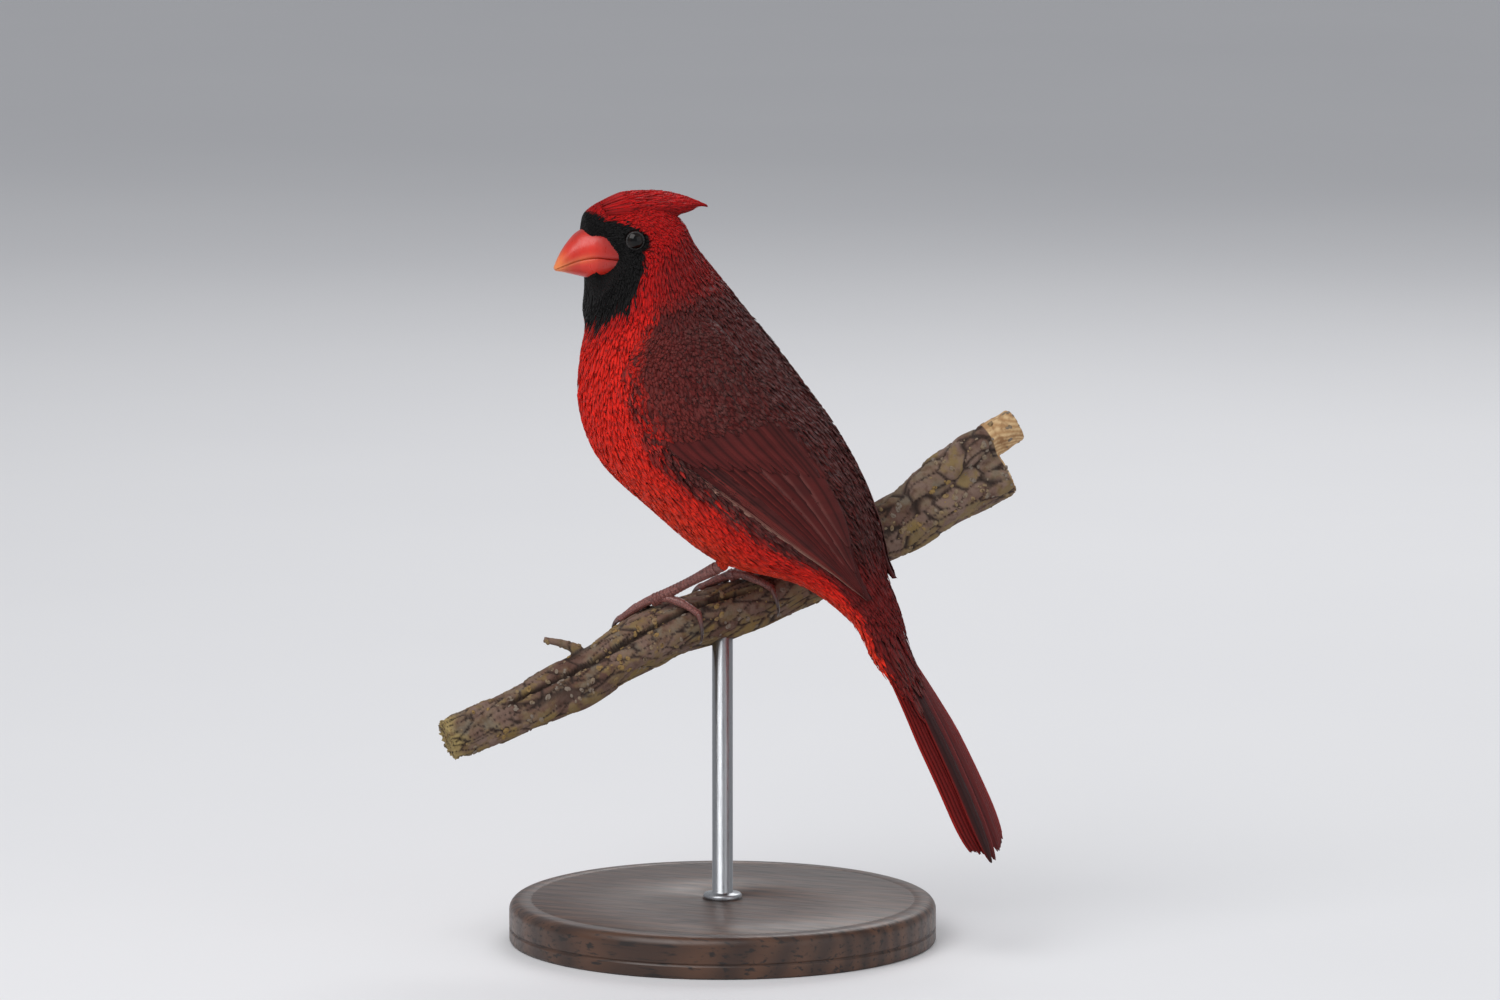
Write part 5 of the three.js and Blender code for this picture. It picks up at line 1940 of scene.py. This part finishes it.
# Perch
@dataclass
class Perch:
    """The branch: lumpy limbs grown as one, with plates, cracks, lichen and a broken end."""

    main: tuple = (
        ((50.2, -69.0, 63.0), 6.0),
        ((26.6, -42.0, 75.8), 7.4),
        ((5.4, -19.6, 91.0), 8.0),
        ((-11.2, 0.2, 98.2), 7.7),
        ((-36.6, 31.2, 117.0), 8.4),
        ((-60.0, 59.0, 134.0), 8.8),
    )
    fork: tuple = (
        ((-30.0, 26.4, 115.4), 4.0),
        ((-40.4, 39.4, 127.6), 5.0),
        ((-50.0, 51.0, 138.2), 5.2),
        ((-60.4, 63.4, 147.6), 5.0),
    )
    spur: tuple = (((20.5, -36.0, 82.0), 2.3), ((22.3, -41.5, 87.6), 1.6), ((25.0, -49.4, 89.8), 1.1))
    relief: float = 0.055
    voxel: float = 0.6
    plate_length: float = 9.0
    plate_width: float = 2.6
    crack_depth: float = 0.45
    line: Line = field(init=False)

    def __post_init__(self) -> None:
        """Sets up the branch's line."""
        self.line = Line(self.main)

    def lumps(self, share: Array, angle: Array) -> Array:
        """The lumps that the feet were set on."""
        return (
            1
            + self.relief * np.sin(3 * angle + 9 * share)
            + 0.6 * self.relief * np.sin(5 * angle - 23 * share + 1)
            + 0.7 * self.relief * np.sin(41 * share + 2 * angle)
        )

    def on(self, share: Array, run: Array, sweep: Array, lift: Array) -> Array:
        """Points over the bark: run along from a share, swept round from the top, lifted off.

        Args:
            share: Where the foot stands along the branch.
            run: Distance along from there.
            sweep: Degrees round, towards the far side.
            lift: Height off the bark.

        Returns:
            The points.
        """
        place = share + np.asarray(run) / self.line.length
        along = self.line.along(place)
        far = unit(np.cross(along, np.array([0.0, 0.0, -1.0])))
        up = unit(np.cross(far, along))
        up = np.where(up[..., 2:] < 0, -up, up)
        out = (self.line.radius(place) * (1 + self.relief) + lift)[..., None]
        angle = np.radians(sweep)[..., None]
        return self.line.at(place) + out * (up * np.cos(angle) + far * np.sin(angle))

    def wood(self, material: bpy.types.Material, rng: Rng) -> bpy.types.Object:
        """Joins the limbs, and works plates and cracks into their bark.

        Args:
            material: The bark's finish.
            rng: Random numbers.

        Returns:
            The piece that stands for the branch's node.
        """
        whole = self.line.tube(40, 90, self.lumps)
        whole = whole.joined(Line(self.fork).tube(32, 40, self.lumps))
        whole = whole.joined(Line(self.spur).tube(20, 18, self.lumps))
        made = whole.object("branch_bark", material)
        remesh = made.modifiers.new("one_wood", "REMESH")
        remesh.mode = "VOXEL"
        remesh.voxel_size = self.voxel * MM
        remesh.use_smooth_shade = True
        mesh = bpy.data.meshes.new_from_object(made.evaluated_get(bpy.context.evaluated_depsgraph_get()))
        made.modifiers.clear()
        made.data = mesh
        self.weather(mesh, rng)
        return made

    def weather(self, mesh: bpy.types.Mesh, rng: Rng) -> None:
        """Moves the bark's points for plates and cracks, and marks cracks, lichen and broken wood.

        Args:
            mesh: The joined wood.
            rng: Random numbers.
        """
        count = len(mesh.vertices)
        points, normals = np.empty(count * 3, dtype=np.float32), np.empty(count * 3, dtype=np.float32)
        mesh.vertices.foreach_get("co", points)
        mesh.vertices.foreach_get("normal", normals)
        points, normals = points.reshape(-1, 3) / MM - BIRD_OFFSET, normals.reshape(-1, 3)
        samples = np.linspace(0, 1, 300)
        centres, ways = self.line.at(samples), self.line.along(samples)
        near = np.argmin(((points[:, None, ::1] - centres[None]) ** 2).sum(axis=2), axis=1)
        along = ways[near]
        offset = points - centres[near]
        run = samples[near] * self.line.length + np.einsum("ij,ij->i", offset, along)
        far = unit(np.cross(along, np.array([0.0, 0.0, -1.0])))
        up = np.cross(far, along)
        up = np.where(up[:, 2:] < 0, -up, up)
        round_ = np.arctan2(np.einsum("ij,ij->i", offset, far), np.einsum("ij,ij->i", offset, up))
        distance = np.linalg.norm(offset, axis=1)
        wavy = 1.6 * np.sin(run * 0.09 + 1.0) + 0.7 * np.sin(run * 0.31)
        girth = (round_ * 8 + wavy) / self.plate_width
        flat = np.stack([run / self.plate_length, girth, distance / 9], axis=1)
        seeds = rng.uniform(flat.min(axis=0) - 1, flat.max(axis=0) + 1, (1500, 3))
        tree = kdtree.KDTree(len(seeds))
        for index, seed in enumerate(seeds):
            tree.insert(seed, index)
        tree.balance()
        found = [tree.find_n(Vector(p), 2) for p in flat]
        first = np.array([f[0][2] for f in found])
        second = np.array([f[1][2] for f in found])
        which = np.array([f[0][1] for f in found])
        gap = second - first
        plate = smoothstep(0.0, 0.14, gap)
        tall = rng.uniform(-0.25, 0.3, len(seeds))[which]
        split = np.abs(np.degrees(round_) + 48 + 4 * np.sin(run * 0.12) + 0.05 * (run - 60))
        stretch = smoothstep(14, 26, run) * (1 - smoothstep(92, 106, run))
        long_crack = (1 - smoothstep(3.0, 8.0, split)) * stretch
        ends = smoothstep(0.2, 2.5, run) * smoothstep(0.2, 2.0, self.line.length - run)
        height = (self.crack_depth * (plate - 1) * 0.8 + tall * plate) * ends - 1.5 * long_crack
        torn = 1 - smoothstep(1.5, 5.0, run + 1.4 * np.sin(round_ * 5))
        height = height - torn * 0.8 * np.abs(np.sin(round_ * 9))
        points = points + normals * height[:, None] + BIRD_OFFSET
        mesh.vertices.foreach_set("co", (points * MM).astype(np.float32).ravel())
        below = smoothstep(70, 130, np.abs(np.degrees(round_)))
        patches = smoothstep(0.45, 0.8, rng.random(len(seeds)))[which]
        lichen = np.clip(0.25 + 0.55 * below + 0.6 * patches * (tall > 0.05), 0, 1) * plate
        # Darker in the cracks, partly their own colour and partly painted shade.
        shade = np.clip(plate * (1 - 0.95 * long_crack), 0, 1)
        marks = np.stack([shade, lichen, torn, np.ones(count)], axis=1)
        mesh.color_attributes.new("tint", "FLOAT_COLOR", "POINT").data.foreach_set(
            "color", marks.astype(np.float32).ravel()
        )
        mesh.update()

    def cut_end(self) -> tuple[Array, Array]:
        """The clean cut's place in metres, and the way it faces."""
        return (self.line.at(np.array(1.0)) + BIRD_OFFSET) * MM, self.line.along(np.array(1.0))

    def build(self, groups: NodeGroups, rng: Rng) -> None:
        """Makes the wood and its flakes and fixes them on the model."""
        cut, way = self.cut_end()
        material = BarkFinish(cut_at=tuple(cut), cut_along=tuple(way)).make(groups)
        wood = self.wood(material, rng)
        ride(wood, "bark", "branch")
        flakes = BarkFlakes().build(wood, groups)
        ride(flakes, "bark")


@dataclass(frozen=True)
class FlakeFinish:
    """Dry lichen crust, ochre to grey-green."""

    name: str = "lichen_crust"

    def make(self, groups: NodeGroups) -> bpy.types.Material:
        """The finish as a material."""
        shader = Shader(self.name)
        where = shader.scaled((1, 1, 1))
        mottle = shader.mottle(groups, where, 120.0, 1300.0)
        patches = shader.ramp(mottle.outputs["Patches"], 0.4, 0.6)
        colour = shader.mix(patches, linear(142, 116, 72), linear(128, 116, 104))
        colour = shader.mix(shader.ramp(mottle.outputs["Grain"], 0.5, 0.7), colour, linear(82, 62, 48))
        normal = shader.bump(mottle.outputs["Grain"], 0.5, 0.0003)
        return shader.finish(Base_Color=colour, Roughness=0.9, Normal=normal, Specular_IOR_Level=0.2)


class GeometryTree:
    """A Geometry Nodes tree with named inputs, run once on an object and made a plain mesh."""

    def __init__(self, name: str, inputs: Sequence[tuple[str, str, object]]) -> None:
        """Sets up the tree's sockets.

        Args:
            name: The tree's name.
            inputs: Label, socket type and value of each named input.
        """
        self.tree = bpy.data.node_groups.new(name, "GeometryNodeTree")
        self.tree.interface.new_socket("Geometry", in_out="INPUT", socket_type="NodeSocketGeometry")
        self.values: dict[str, object] = {}
        for label, kind, value in inputs:
            socket = self.tree.interface.new_socket(label, in_out="INPUT", socket_type=kind)
            self.values[socket.identifier] = value
        self.tree.interface.new_socket("Geometry", in_out="OUTPUT", socket_type="NodeSocketGeometry")
        self.start = self.tree.nodes.new("NodeGroupInput")
        self.end = self.tree.nodes.new("NodeGroupOutput")

    def node(self, kind: str, inputs: Optional[dict] = None, **props: object) -> bpy.types.Node:
        """Adds a node by its full type, with properties and inputs."""
        return add_node(self.tree, kind, inputs, **props)

    def close(self, geometry: bpy.types.NodeSocket, material: bpy.types.Material) -> None:
        """Ends the tree in real geometry with its material."""
        real = self.node("GeometryNodeRealizeInstances", {"Geometry": geometry})
        made = self.node("GeometryNodeSetMaterial", {"Geometry": real.outputs[0], "Material": material})
        self.tree.links.new(made.outputs[0], self.end.inputs[0])

    def run(self, host: bpy.types.Object, name: str) -> bpy.types.Object:
        """Runs the tree on a host object and keeps the result as an object of its own.

        Args:
            host: What the tree starts from, which is left as it was.
            name: The new object's name.

        Returns:
            The new object.
        """
        modifier = host.modifiers.new(self.tree.name, "NODES")
        modifier.node_group = self.tree
        for identifier, value in self.values.items():
            modifier[identifier] = value
        mesh = bpy.data.meshes.new_from_object(host.evaluated_get(bpy.context.evaluated_depsgraph_get()))
        host.modifiers.remove(modifier)
        mesh.name = name
        made = bpy.data.objects.new(name, mesh)
        bpy.context.collection.objects.link(made)
        return made


@dataclass
class BarkFlakes:
    """Small crusts of lichen and loose bark scattered over the branch."""

    density: float = 90000.0
    size: float = 0.0011
    seed: int = 7

    def build(self, wood: bpy.types.Object, groups: NodeGroups) -> bpy.types.Object:
        """Scatters the flakes over the wood.

        Args:
            wood: The branch.
            groups: Shared node groups.

        Returns:
            The flakes' object.
        """
        inputs = [("Density", "NodeSocketFloat", self.density), ("Size", "NodeSocketFloat", self.size),
                  ("Seed", "NodeSocketInt", self.seed)]
        tree = GeometryTree("Flakes", inputs)
        start = tree.start.outputs
        scatter = tree.node(
            "GeometryNodeDistributePointsOnFaces",
            {"Mesh": start["Geometry"], "Density": start["Density"], "Seed": start["Seed"]},
        )
        chip = tree.node("GeometryNodeMeshIcoSphere", {"Radius": start["Size"], "Subdivisions": 1})
        flat = tree.node("GeometryNodeTransform", {"Geometry": chip.outputs[0], "Scale": (1.0, 0.7, 0.22)})
        sizes = {2: 0.3, 3: 1.15, "Seed": start["Seed"]}
        least = tree.node("FunctionNodeRandomValue", sizes, data_type="FLOAT")
        turn = tree.node("FunctionNodeRandomValue", {2: 0.0, 3: 6.28, "Seed": 3}, data_type="FLOAT")
        spin = tree.node("ShaderNodeCombineXYZ", {2: turn.outputs[1]})
        turned = {0: scatter.outputs["Rotation"], 1: spin.outputs[0]}
        lie = tree.node("FunctionNodeRotateEuler", turned, space="LOCAL")
        placed = tree.node(
            "GeometryNodeInstanceOnPoints",
            {
                "Points": scatter.outputs["Points"],
                "Instance": flat.outputs[0],
                "Rotation": lie.outputs[0],
                "Scale": least.outputs[1],
            },
        )
        tree.close(placed.outputs[0], FlakeFinish().make(groups))
        return tree.run(wood, "branch_lichen_flakes")


# Legs and feet
@dataclass(frozen=True)
class Toe:
    """A toe that winds round the branch: its run along it and sweep round it, and where its claw ends."""

    name: str
    run: float
    sweep: float
    claw_run: float
    claw_sweep: float


@dataclass
class Leg:
    """One shank with its foot: toes and claws that grip the branch."""

    side: Side
    perch: Perch
    hip: Triple
    heel: Triple
    stands: float
    toes: tuple[Toe, ...] = (
        Toe("inner", -4.0, 76, -5.4, 120),
        Toe("middle", -12.0, 72, -15.2, 116),
        Toe("outer", -9.8, 34, -14.0, 72),
        Toe("hind", 7.6, -68, 6.4, -128),
    )
    shank: tuple[tuple[float, float], ...] = ((0.0, 1.75), (0.45, 1.3), (0.85, 1.45), (1.06, 1.8))
    toe_radius: float = 1.2
    toe_end: float = 0.95
    claw_root: float = 0.95
    claw_tip: float = 0.16
    foot_lift: float = 1.5

    def shank_line(self) -> Line:
        """The shank's line from heel to foot."""
        foot = self.perch.on(np.array(self.stands), np.array(0.0), np.array(0.0), np.array(self.foot_lift))
        heel = np.array(self.heel)
        return Line([(tuple(heel + (foot - heel) * share), radius) for share, radius in self.shank])

    def toe_line(self, toe: Toe) -> Line:
        """A toe's line, with a swelling at each joint."""
        share = np.linspace(0, 1, 7)
        lift = GAP * 0.3 + self.toe_radius * 0.96 + 0.5 * (1 - share)
        points = self.perch.on(np.full(7, self.stands), toe.run * share, toe.sweep * share, lift)
        swelling = 1 + 0.1 * np.cos(share * 4 * math.pi)
        radius = (self.toe_radius + (self.toe_end - self.toe_radius) * share) * swelling
        return Line(list(zip(map(tuple, points), radius)))

    def claw_line(self, toe: Toe) -> Line:
        """A claw's hooked line from inside the toe's end to its point."""
        share = np.linspace(0, 1, 6)
        run = toe.run + (toe.claw_run - toe.run) * share
        sweep = toe.sweep + (toe.claw_sweep - toe.sweep) * share
        lift = self.toe_radius * (1 - share) + 0.35 + 1.0 * np.sin(share * math.pi)
        points = self.perch.on(np.full(6, self.stands), run, sweep, lift)
        radius = self.claw_root + (self.claw_tip - self.claw_root) * share**0.8
        return Line(list(zip(map(tuple, points), radius)))

    def skin(self) -> MeshData:
        """Shank and toes as one joined mesh."""
        whole = self.shank_line().tube(20, 60, ripple)
        for toe in self.toes:
            rings = np.concatenate([np.linspace(0, 0.94, 34), [0.965, 0.985, 1.0]])
            whole = whole.joined(self.toe_line(toe).tube(16, 37, end_cap, rings))
        return whole

    def claws(self) -> MeshData:
        """All four claws as one joined mesh, darker to the point."""
        whole: Optional[MeshData] = None
        for toe in self.toes:
            claw = self.claw_line(toe).tube(14, 24, claw_section)
            share = np.append(np.repeat(np.linspace(0, 1, 24), 14), [0.0, 1.0])
            root = np.broadcast_to(Palette.LEG * 0.6, (len(share), 3))
            claw.tint = mix(root, Palette.CLAW, smoothstep(0, 0.5, share))
            whole = claw if whole is None else whole.joined(claw)
        return whole

    def scutes(self, material: bpy.types.Material) -> bpy.types.Object:
        """Overlapping plates round the shank and toes, set along their lines.

        Args:
            material: The legs' finish.

        Returns:
            The plates' object.
        """
        mesh = bpy.data.meshes.new("leg_lines")
        points: list[Array] = []
        girths: list[Array] = []
        edges: list[tuple[int, int]] = []
        for line, last in [(self.shank_line(), 0.95)] + [(self.toe_line(toe), 0.93) for toe in self.toes]:
            share = np.linspace(0.08, last, 30)
            start = sum(len(block) for block in points)
            points.append(line.at(share))
            girths.append(line.radius(share))
            edges += [(start + k, start + k + 1) for k in range(29)]
        mesh.from_pydata([tuple(p) for p in (np.vstack(points) + BIRD_OFFSET) * MM], edges, [])
        mesh.attributes.new("girth", "FLOAT", "POINT").data.foreach_set("value", np.concatenate(girths) * MM)
        host = bpy.data.objects.new("leg_lines", mesh)
        bpy.context.collection.objects.link(host)
        sizes = [("Spacing", "NodeSocketFloat", 0.00125), ("Proud", "NodeSocketFloat", 1.07)]
        tree = GeometryTree("Scutes", sizes)
        start_ = tree.start.outputs
        curve = tree.node("GeometryNodeMeshToCurve", {"Mesh": start_["Geometry"]})
        steps = {"Curve": curve.outputs[0], "Length": start_["Spacing"]}
        even = tree.node("GeometryNodeResampleCurve", steps, mode="LENGTH")
        plate = tree.node(
            "GeometryNodeMeshCone",
            {"Vertices": 16, "Radius Top": 0.965, "Radius Bottom": 1.06, "Depth": 1.0},
            fill_type="NGON",
        )
        tangent = tree.node("GeometryNodeInputTangent")
        turn = tree.node("FunctionNodeAlignEulerToVector", {"Vector": tangent.outputs[0]}, axis="Z")
        girth = tree.node("GeometryNodeInputNamedAttribute", {"Name": "girth"}, data_type="FLOAT")
        wide = tree.node("ShaderNodeMath", {0: girth.outputs[0], 1: start_["Proud"]}, operation="MULTIPLY")
        scale = {0: wide.outputs[0], 1: wide.outputs[0], 2: start_["Spacing"]}
        size = tree.node("ShaderNodeCombineXYZ", scale)
        placed = tree.node(
            "GeometryNodeInstanceOnPoints",
            {
                "Points": even.outputs[0],
                "Instance": plate.outputs[0],
                "Rotation": turn.outputs[0],
                "Scale": size.outputs[0],
            },
        )
        tree.close(placed.outputs[0], material)
        made = tree.run(host, f"leg_{self.side.label}_scutes")
        bpy.data.objects.remove(host)
        return made

    def build(self, groups: NodeGroups, leg: bpy.types.Material, claw: bpy.types.Material) -> None:
        """Makes the leg's pieces and fixes them on the model."""
        label = self.side.label
        nodes = [f"tarsus_{label}"] + [f"toe_{label}_{toe.name}" for toe in self.toes]
        ride(self.skin().object(f"leg_{label}_skin", leg), "leg_skin", *nodes)
        claws = [f"claw_{label}_{toe.name}" for toe in self.toes]
        ride(self.claws().object(f"claws_{label}", claw), "claw", *claws)
        ride(self.scutes(leg), "leg_skin")


def ripple(share: Array, angle: Array) -> Array:
    """A shank's slight unevenness along and round it."""
    return 1 + 0.03 * np.sin(share * 60) + 0.02 * np.sin(3 * angle)


def claw_section(share: Array, angle: Array) -> Array:
    """A claw's section, a little deeper on one side, the same all along it."""
    return 1 + 0.12 * np.cos(angle)


def end_cap(share: Array, angle: Array) -> Array:
    """Rounds a toe off near its end, the same all round it."""
    past = np.clip((share - 0.94) / 0.06, 0, 0.98)
    return np.sqrt(1 - past**2)


@dataclass
class Stand:
    """A turned round base and one steel rod up to the branch."""

    radius: float = 62.0
    thick: float = 12.0
    round_: float = 3.0
    rod_radius: float = 3.0
    rod_at: tuple[float, float] = (-5.2, -6.0)
    segments: int = 128

    def turned(self, profile: Sequence[tuple[float, float]], segments: int) -> MeshData:
        """Turns a profile of radius and height round the rod's axis."""
        angle = np.linspace(0, 2 * math.pi, segments, endpoint=False)
        x, y = self.rod_at
        cos, sin = np.cos(angle), np.sin(angle)
        rings = [np.stack([x + r * cos, y + r * sin, np.full_like(angle, z)], axis=1) for r, z in profile]
        return loft(np.array(rings))

    def base(self) -> MeshData:
        """The base: a softened upper edge with a fine turned groove under it."""
        turn = np.linspace(0, math.pi / 2, 9)
        wide, high = self.radius - self.round_, self.thick - self.round_
        edge = [
            (wide + self.round_ * math.cos(t), high + self.round_ * math.sin(t))
            for t in turn
        ]
        groove = [(self.radius, 3.4), (self.radius, 3.6), (self.radius - 0.5, 3.9), (self.radius - 0.5, 4.3),
                  (self.radius, 4.6), (self.radius, 4.8)]
        rim, deck = self.radius, self.thick
        low = [(rim - 4.0, 0.0), (rim - 0.7, 0.0), (rim - 0.2, 0.25), (rim, 0.7)]
        top = [(rim - 6, deck), (rim - 6.4, deck - 0.25), (rim - 6.8, deck),
               (3.3, self.thick), (3.1, self.thick - 0.3)]
        return self.turned([(2.0, 0.0)] + low + groove + edge + top, self.segments)

    def rod(self, top: float) -> MeshData:
        """The rod, with a small collar where it enters the base."""
        r = self.rod_radius
        deck = self.thick
        collar = [(r + 2.6, deck + 0.02), (r + 2.6, deck + 1.0), (r + 2.2, deck + 1.5), (r + 0.4, deck + 1.6)]
        foot = [(0.5, deck - 6), (r, deck - 6)]
        shaft = [(r, deck + 2.0), (r, top - 0.3), (r - 0.3, top)]
        return self.turned(foot + collar + shaft, 48)

    def build(self, groups: NodeGroups, perch: Perch) -> None:
        """Makes base and rod and fixes them on the model."""
        over = perch.line.places[int(0.53 * (len(perch.line.places) - 1))]
        top = float(over[2]) - 8.0 + 5.0
        ride(self.base().object("stand_base_turned", WoodFinish().make(groups)), "base_wood", "stand_base")
        ride(self.rod(top).object("stand_rod_steel", SteelFinish().make(groups)), "rod_steel", "stand_rod")


@dataclass
class Studio:
    """Camera at the photo's angle, a pale floor and soft lights."""

    azimuth: float = 112.0
    elevation: float = 8.0
    distance: float = 2400.0
    pixels_per_mm: float = 3.45
    floor_pixel: tuple[float, float] = (735.0, 943.0)
    sensor: float = 36.0
    width: float = 1500.0
    height: float = 1000.0
    sky: tuple[float, ...] = (0.93, 0.95, 1.0, 1.0)
    sky_strength: float = 0.42
    floor_reach: float = 6.0

    def axes(self) -> tuple[Array, Array, Array]:
        """Right, forward and up of the camera."""
        a, e = math.radians(self.azimuth), math.radians(self.elevation)
        right = np.array([math.cos(a), math.sin(a), 0.0])
        forward = np.array([-math.sin(a) * math.cos(e), math.cos(a) * math.cos(e), -math.sin(e)])
        return right, forward, np.cross(right, forward)

    def target(self) -> Array:
        """The point in the frame's middle, in mm in the bird's frame."""
        right, _, up = self.axes()
        across = (self.width / 2 - self.floor_pixel[0]) / self.pixels_per_mm
        rise = (self.floor_pixel[1] - self.height / 2) / self.pixels_per_mm
        return right * across + up * rise

    def camera(self) -> None:
        """Sets the scene's camera."""
        forward = self.axes()[1]
        data = bpy.data.cameras.new("camera")
        data.sensor_width = self.sensor
        data.lens = self.sensor * self.distance * self.pixels_per_mm / self.width
        data.clip_end = 50.0
        made = bpy.data.objects.new("camera", data)
        made.location = (self.target() + BIRD_OFFSET - forward * self.distance) * MM
        made.rotation_euler = Vector(forward).to_track_quat("-Z", "Y").to_euler()
        bpy.context.collection.objects.link(made)
        bpy.context.scene.camera = made

    def light(self, name: str, toward: Triple, far: float, size: float, power: float) -> None:
        """Adds one soft light that looks at the bird.

        Args:
            name: The light's name.
            toward: Direction from the bird to the light, as right, back and up of the camera.
            far: Distance in metres.
            size: Side of the light's square in metres.
            power: Watts.
        """
        right, forward, _ = self.axes()
        back = unit(np.array([-forward[0], -forward[1], 0.0]))
        way = unit(right * toward[0] + back * toward[1] + np.array([0.0, 0.0, toward[2]]))
        data = bpy.data.lights.new(name, "AREA")
        data.size = size
        data.energy = power
        made = bpy.data.objects.new(name, data)
        made.location = (self.target() + BIRD_OFFSET) * MM + way * far
        made.rotation_euler = Vector(-way).to_track_quat("-Z", "Y").to_euler()
        bpy.context.collection.objects.link(made)

    def build(self, groups: NodeGroups) -> None:
        """Sets up camera, lights, world and floor."""
        self.camera()
        self.light("key", (-0.6, 0.8, 1.1), 1.5, 1.2, 15.0)
        self.light("fill", (0.95, 0.8, 0.35), 1.8, 1.6, 5.0)
        self.light("rim", (0.3, -1.0, 0.9), 1.6, 1.0, 8.0)
        world = bpy.data.worlds.new("studio")
        world.use_nodes = True
        world.node_tree.nodes["Background"].inputs["Color"].default_value = self.sky
        world.node_tree.nodes["Background"].inputs["Strength"].default_value = self.sky_strength
        bpy.context.scene.world = world
        bpy.context.scene.view_settings.view_transform = "Standard"
        reach = self.floor_reach
        mesh = bpy.data.meshes.new("floor")
        corners = [(-reach, -reach, 0), (reach, -reach, 0), (reach, reach, 0), (-reach, reach, 0)]
        mesh.from_pydata(corners, [], [(0, 1, 2, 3)])
        mesh.materials.append(FloorFinish().make(groups))
        floor = bpy.data.objects.new("floor", mesh)
        bpy.context.collection.objects.link(floor)


def main() -> None:
    """Builds the bird, its perch and stand, and the studio."""
    logging.basicConfig(level=logging.INFO, format="%(name)s %(message)s")
    rng = np.random.default_rng(SEED)
    groups = NodeGroups()
    body, crest, markings = BodyForm(), CrestForm(), Markings()
    perch = Perch()
    legs = (
        Leg(Side.LEFT, perch, hip=(12.5, 8.0, 128.0), heel=(11.0, 0.4, 112.2), stands=0.4),
        Leg(Side.RIGHT, perch, hip=(-13.5, 21.0, 127.0), heel=(-11.8, 12.6, 111.6), stands=0.53),
    )
    thighs = tuple(ThighForm(leg.hip, leg.heel) for leg in legs)
    plumage = PlumageFinish("plumage").make(groups)
    flight_finish = PlumageFinish("flight_feathers", streak=1.2, contrast=0.22, ridge=0.25, roughness=0.5)
    flights = flight_finish.make(groups)
    skin = Skin(body, crest, thighs, markings).build(SkinFinish().make(groups), rng)
    ride(skin, "red_plumage", "head", "neck", "trunk", "rump", "crest", "thigh_left", "thigh_right")
    for piece in Coat(body, markings).build(plumage, rng):
        ride(piece, "red_plumage")
    ride(Crest(crest).build(plumage, rng), "red_plumage")
    for leg, thigh in zip(legs, thighs):
        ride(ThighCoat(thigh, leg.side).build(plumage, rng), "red_plumage")
    for side in Side:
        Wing(side).build(flights, rng)
    Tail().build(flights, rng)
    Bill().build(HornFinish("bill_horn").make(groups))
    lids = HornFinish("eyelid_skin", roughness=0.55, coat=0.1).make(groups)
    for side in Side:
        Eye(side).build(groups, lids)
    leg_skin = LegFinish().make(groups)
    claw_horn = HornFinish("claw_horn", roughness=0.25, coat=0.4).make(groups)
    for leg in legs:
        leg.build(groups, leg_skin, claw_horn)
    perch.build(groups, rng)
    Stand().build(groups, perch)
    Studio().build(groups)
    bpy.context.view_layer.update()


if __name__ == "__main__":
    main()
